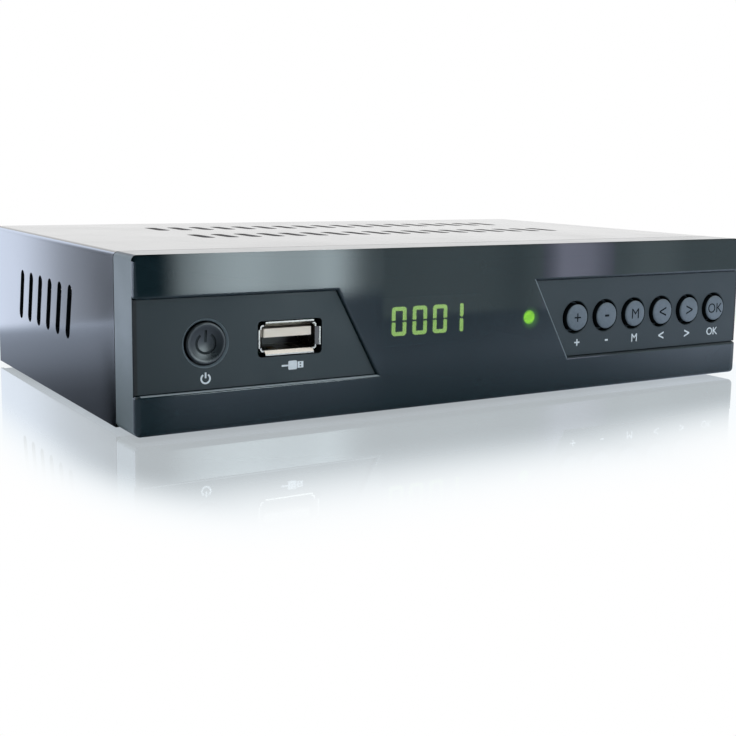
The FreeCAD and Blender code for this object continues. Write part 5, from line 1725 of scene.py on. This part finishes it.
    def build_room(self) -> None:
        """Make the room white to the eye and in reflections, and a plain soft light elsewhere."""
        world = bpy.data.worlds.new("room")
        bpy.context.scene.world = world
        tree = empty_tree(world)
        seen = seen_by(tree, "Is Camera Ray", "Is Glossy Ray", "Is Transmission Ray")
        light = add_node(tree, "Background", {"Color": linear("#eaf1f8"), "Strength": self.ambient})
        white = add_node(tree, "Background", {"Color": linear("#ffffff"), "Strength": 1.0})
        both = add_node(tree, "MixShader", {0: seen, 1: light, 2: white})
        add_node(tree, "OutputWorld", {"Surface": both})

    def distance(self, tree: Tree) -> Source:
        """Measure how far a place on the table is from the object's outline, in metres.

        Lengths along X count more, because the camera stands nearer to that side's plane.

        Args:
            tree: the table's nodes.

        Returns:
            The distance.
        """
        place = add_node(tree, "TexCoord").outputs["Object"]
        halves, none = (self.half_width * MM, self.half_depth * MM, 0.0), (0.0, 0.0, 0.0)
        steps = (("SUBTRACT", halves), ("MULTIPLY", (self.side_weight, 1.0, 0.0)), ("MAXIMUM", none))
        past = add_node(tree, "VectorMath", {0: place}, operation="ABSOLUTE")
        for step, by in steps:
            past = add_node(tree, "VectorMath", {0: past, 1: by}, operation=step)
        length = add_node(tree, "VectorMath", {0: past}, operation="LENGTH").outputs["Value"]
        stops = ((-self.half_width, 1.0), (0.0, 1.0), (self.half_width, self.far_weight))
        pull = graded(tree, add_node(tree, "SeparateXYZ", {0: place}), stops)
        return add_node(tree, "Math", {0: length, 1: pull}, operation="MULTIPLY")

    def rays(self, tree: Tree, over: Source, under: Source, stops: Stops) -> Source:
        """Spread light in rays from a point.

        Args:
            tree: the table's nodes.
            over: how far a place is from the point along one axis.
            under: how far it is along the other.
            stops: quotients of the two, and the light at each.

        Returns:
            The light.
        """
        return graded(tree, add_node(tree, "Math", {0: over, 1: under}, operation="DIVIDE"), stops, 1.0)

    def tone(self, tree: Tree) -> Source:
        """Set how bright the table looks in the object's glossy faces.

        Before the object the light falls in rays that spread out from a point behind it. Beside the
        object the table gets brighter towards the back.

        Args:
            tree: the table's nodes.

        Returns:
            The brightness, where 1 is white.
        """
        axes = add_node(tree, "SeparateXYZ", {0: add_node(tree, "TexCoord").outputs["Object"]})
        x, y = axes.outputs[0], axes.outputs[1]
        run = add_node(tree, "Math", {0: x, 1: self.fan_x * MM}, operation="SUBTRACT")
        reach = add_node(tree, "Math", {0: self.fan_y * MM, 1: y}, operation="SUBTRACT")
        fan = self.rays(tree, run, reach, self.fan)
        before = add_node(tree, "Math", {0: fan, 1: graded(tree, y, self.before)}, operation="MULTIPLY")
        across = add_node(tree, "Math", {0: y, 1: -self.seam_y * MM}, operation="SUBTRACT")
        along = add_node(tree, "Math", {0: self.seam_x * MM, 1: x}, operation="SUBTRACT")
        seam = self.rays(tree, across, along, self.seam)
        side = add_node(tree, "Math", {0: graded(tree, y, self.beside), 1: seam}, operation="MULTIPLY")
        left = add_node(tree, "Math", {0: x, 1: -self.half_width * MM}, operation="LESS_THAN")
        return add_node(tree, "Mix", {0: left, 2: before, 3: side}, data_type="FLOAT")

    def build_table(self) -> None:
        """Lay the table, which mirrors what stands on it and keeps its shadow."""
        deselect()
        bpy.ops.mesh.primitive_plane_add(size=FLOOR_SIZE * MM)
        table = bpy.context.active_object
        table.name = "table"
        material = bpy.data.materials.new("white_lacquer")
        tree = empty_tree(material)
        away, seen, white = self.distance(tree), seen_by(tree, "Is Camera Ray"), linear("#ffffff")
        tint = blend(tree, seen, self.floor_colour, self.seen_colour)
        matt = add_node(tree, "BsdfDiffuse", {"Color": tint})
        lift = add_node(tree, "Math", {0: seen, 1: self.lift}, operation="MULTIPLY")
        glow = add_node(tree, "Emission", {"Color": linear("#f3fbff"), "Strength": lift})
        lit = add_node(tree, "AddShader", {0: matt, 1: glow})
        mirror = add_node(tree, "BsdfGlossy", {"Color": white, "Roughness": self.mirror_roughness})
        ring = {"From Min": self.mirror_even * MM, "From Max": self.mirror_reach * MM}
        fade = {"Value": away, **ring, "To Min": self.mirror_share, "To Max": 0.0}
        share = add_node(tree, "MapRange", fade, interpolation_type="SMOOTHSTEP")
        near = add_node(tree, "MixShader", {0: share, 1: lit, 2: mirror})
        turn = {"Value": away, "From Min": self.sweep_start * MM, "From Max": self.sweep_end * MM}
        beyond = add_node(tree, "MapRange", turn, interpolation_type="SMOOTHSTEP")
        sweep = add_node(tree, "Math", {0: seen, 1: beyond}, operation="MULTIPLY")
        backdrop = add_node(tree, "Emission", {"Color": white, "Strength": 1.0})
        lacquer = add_node(tree, "MixShader", {0: sweep, 1: near, 2: backdrop})
        mirrored = add_node(tree, "Emission", {"Color": linear("#d6e4fb"), "Strength": self.tone(tree)})
        both = add_node(tree, "MixShader", {0: seen_by(tree, "Is Glossy Ray"), 1: lacquer, 2: mirrored})
        add_node(tree, "OutputMaterial", {"Surface": both})
        table.data.materials.append(material)


def main() -> None:
    """Load the frame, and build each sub-assembly and the studio."""
    logging.basicConfig(level=logging.INFO, format="%(name)s: %(message)s")
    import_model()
    parts = (CaseShell(), FrontPanel(), Keypad(), UsbSocket(), Display(), RearSockets(), Boards(), Studio())
    for part in parts:
        part.build()
        LOG.info("%s is built", type(part).__name__)


if __name__ == "__main__":
    main()
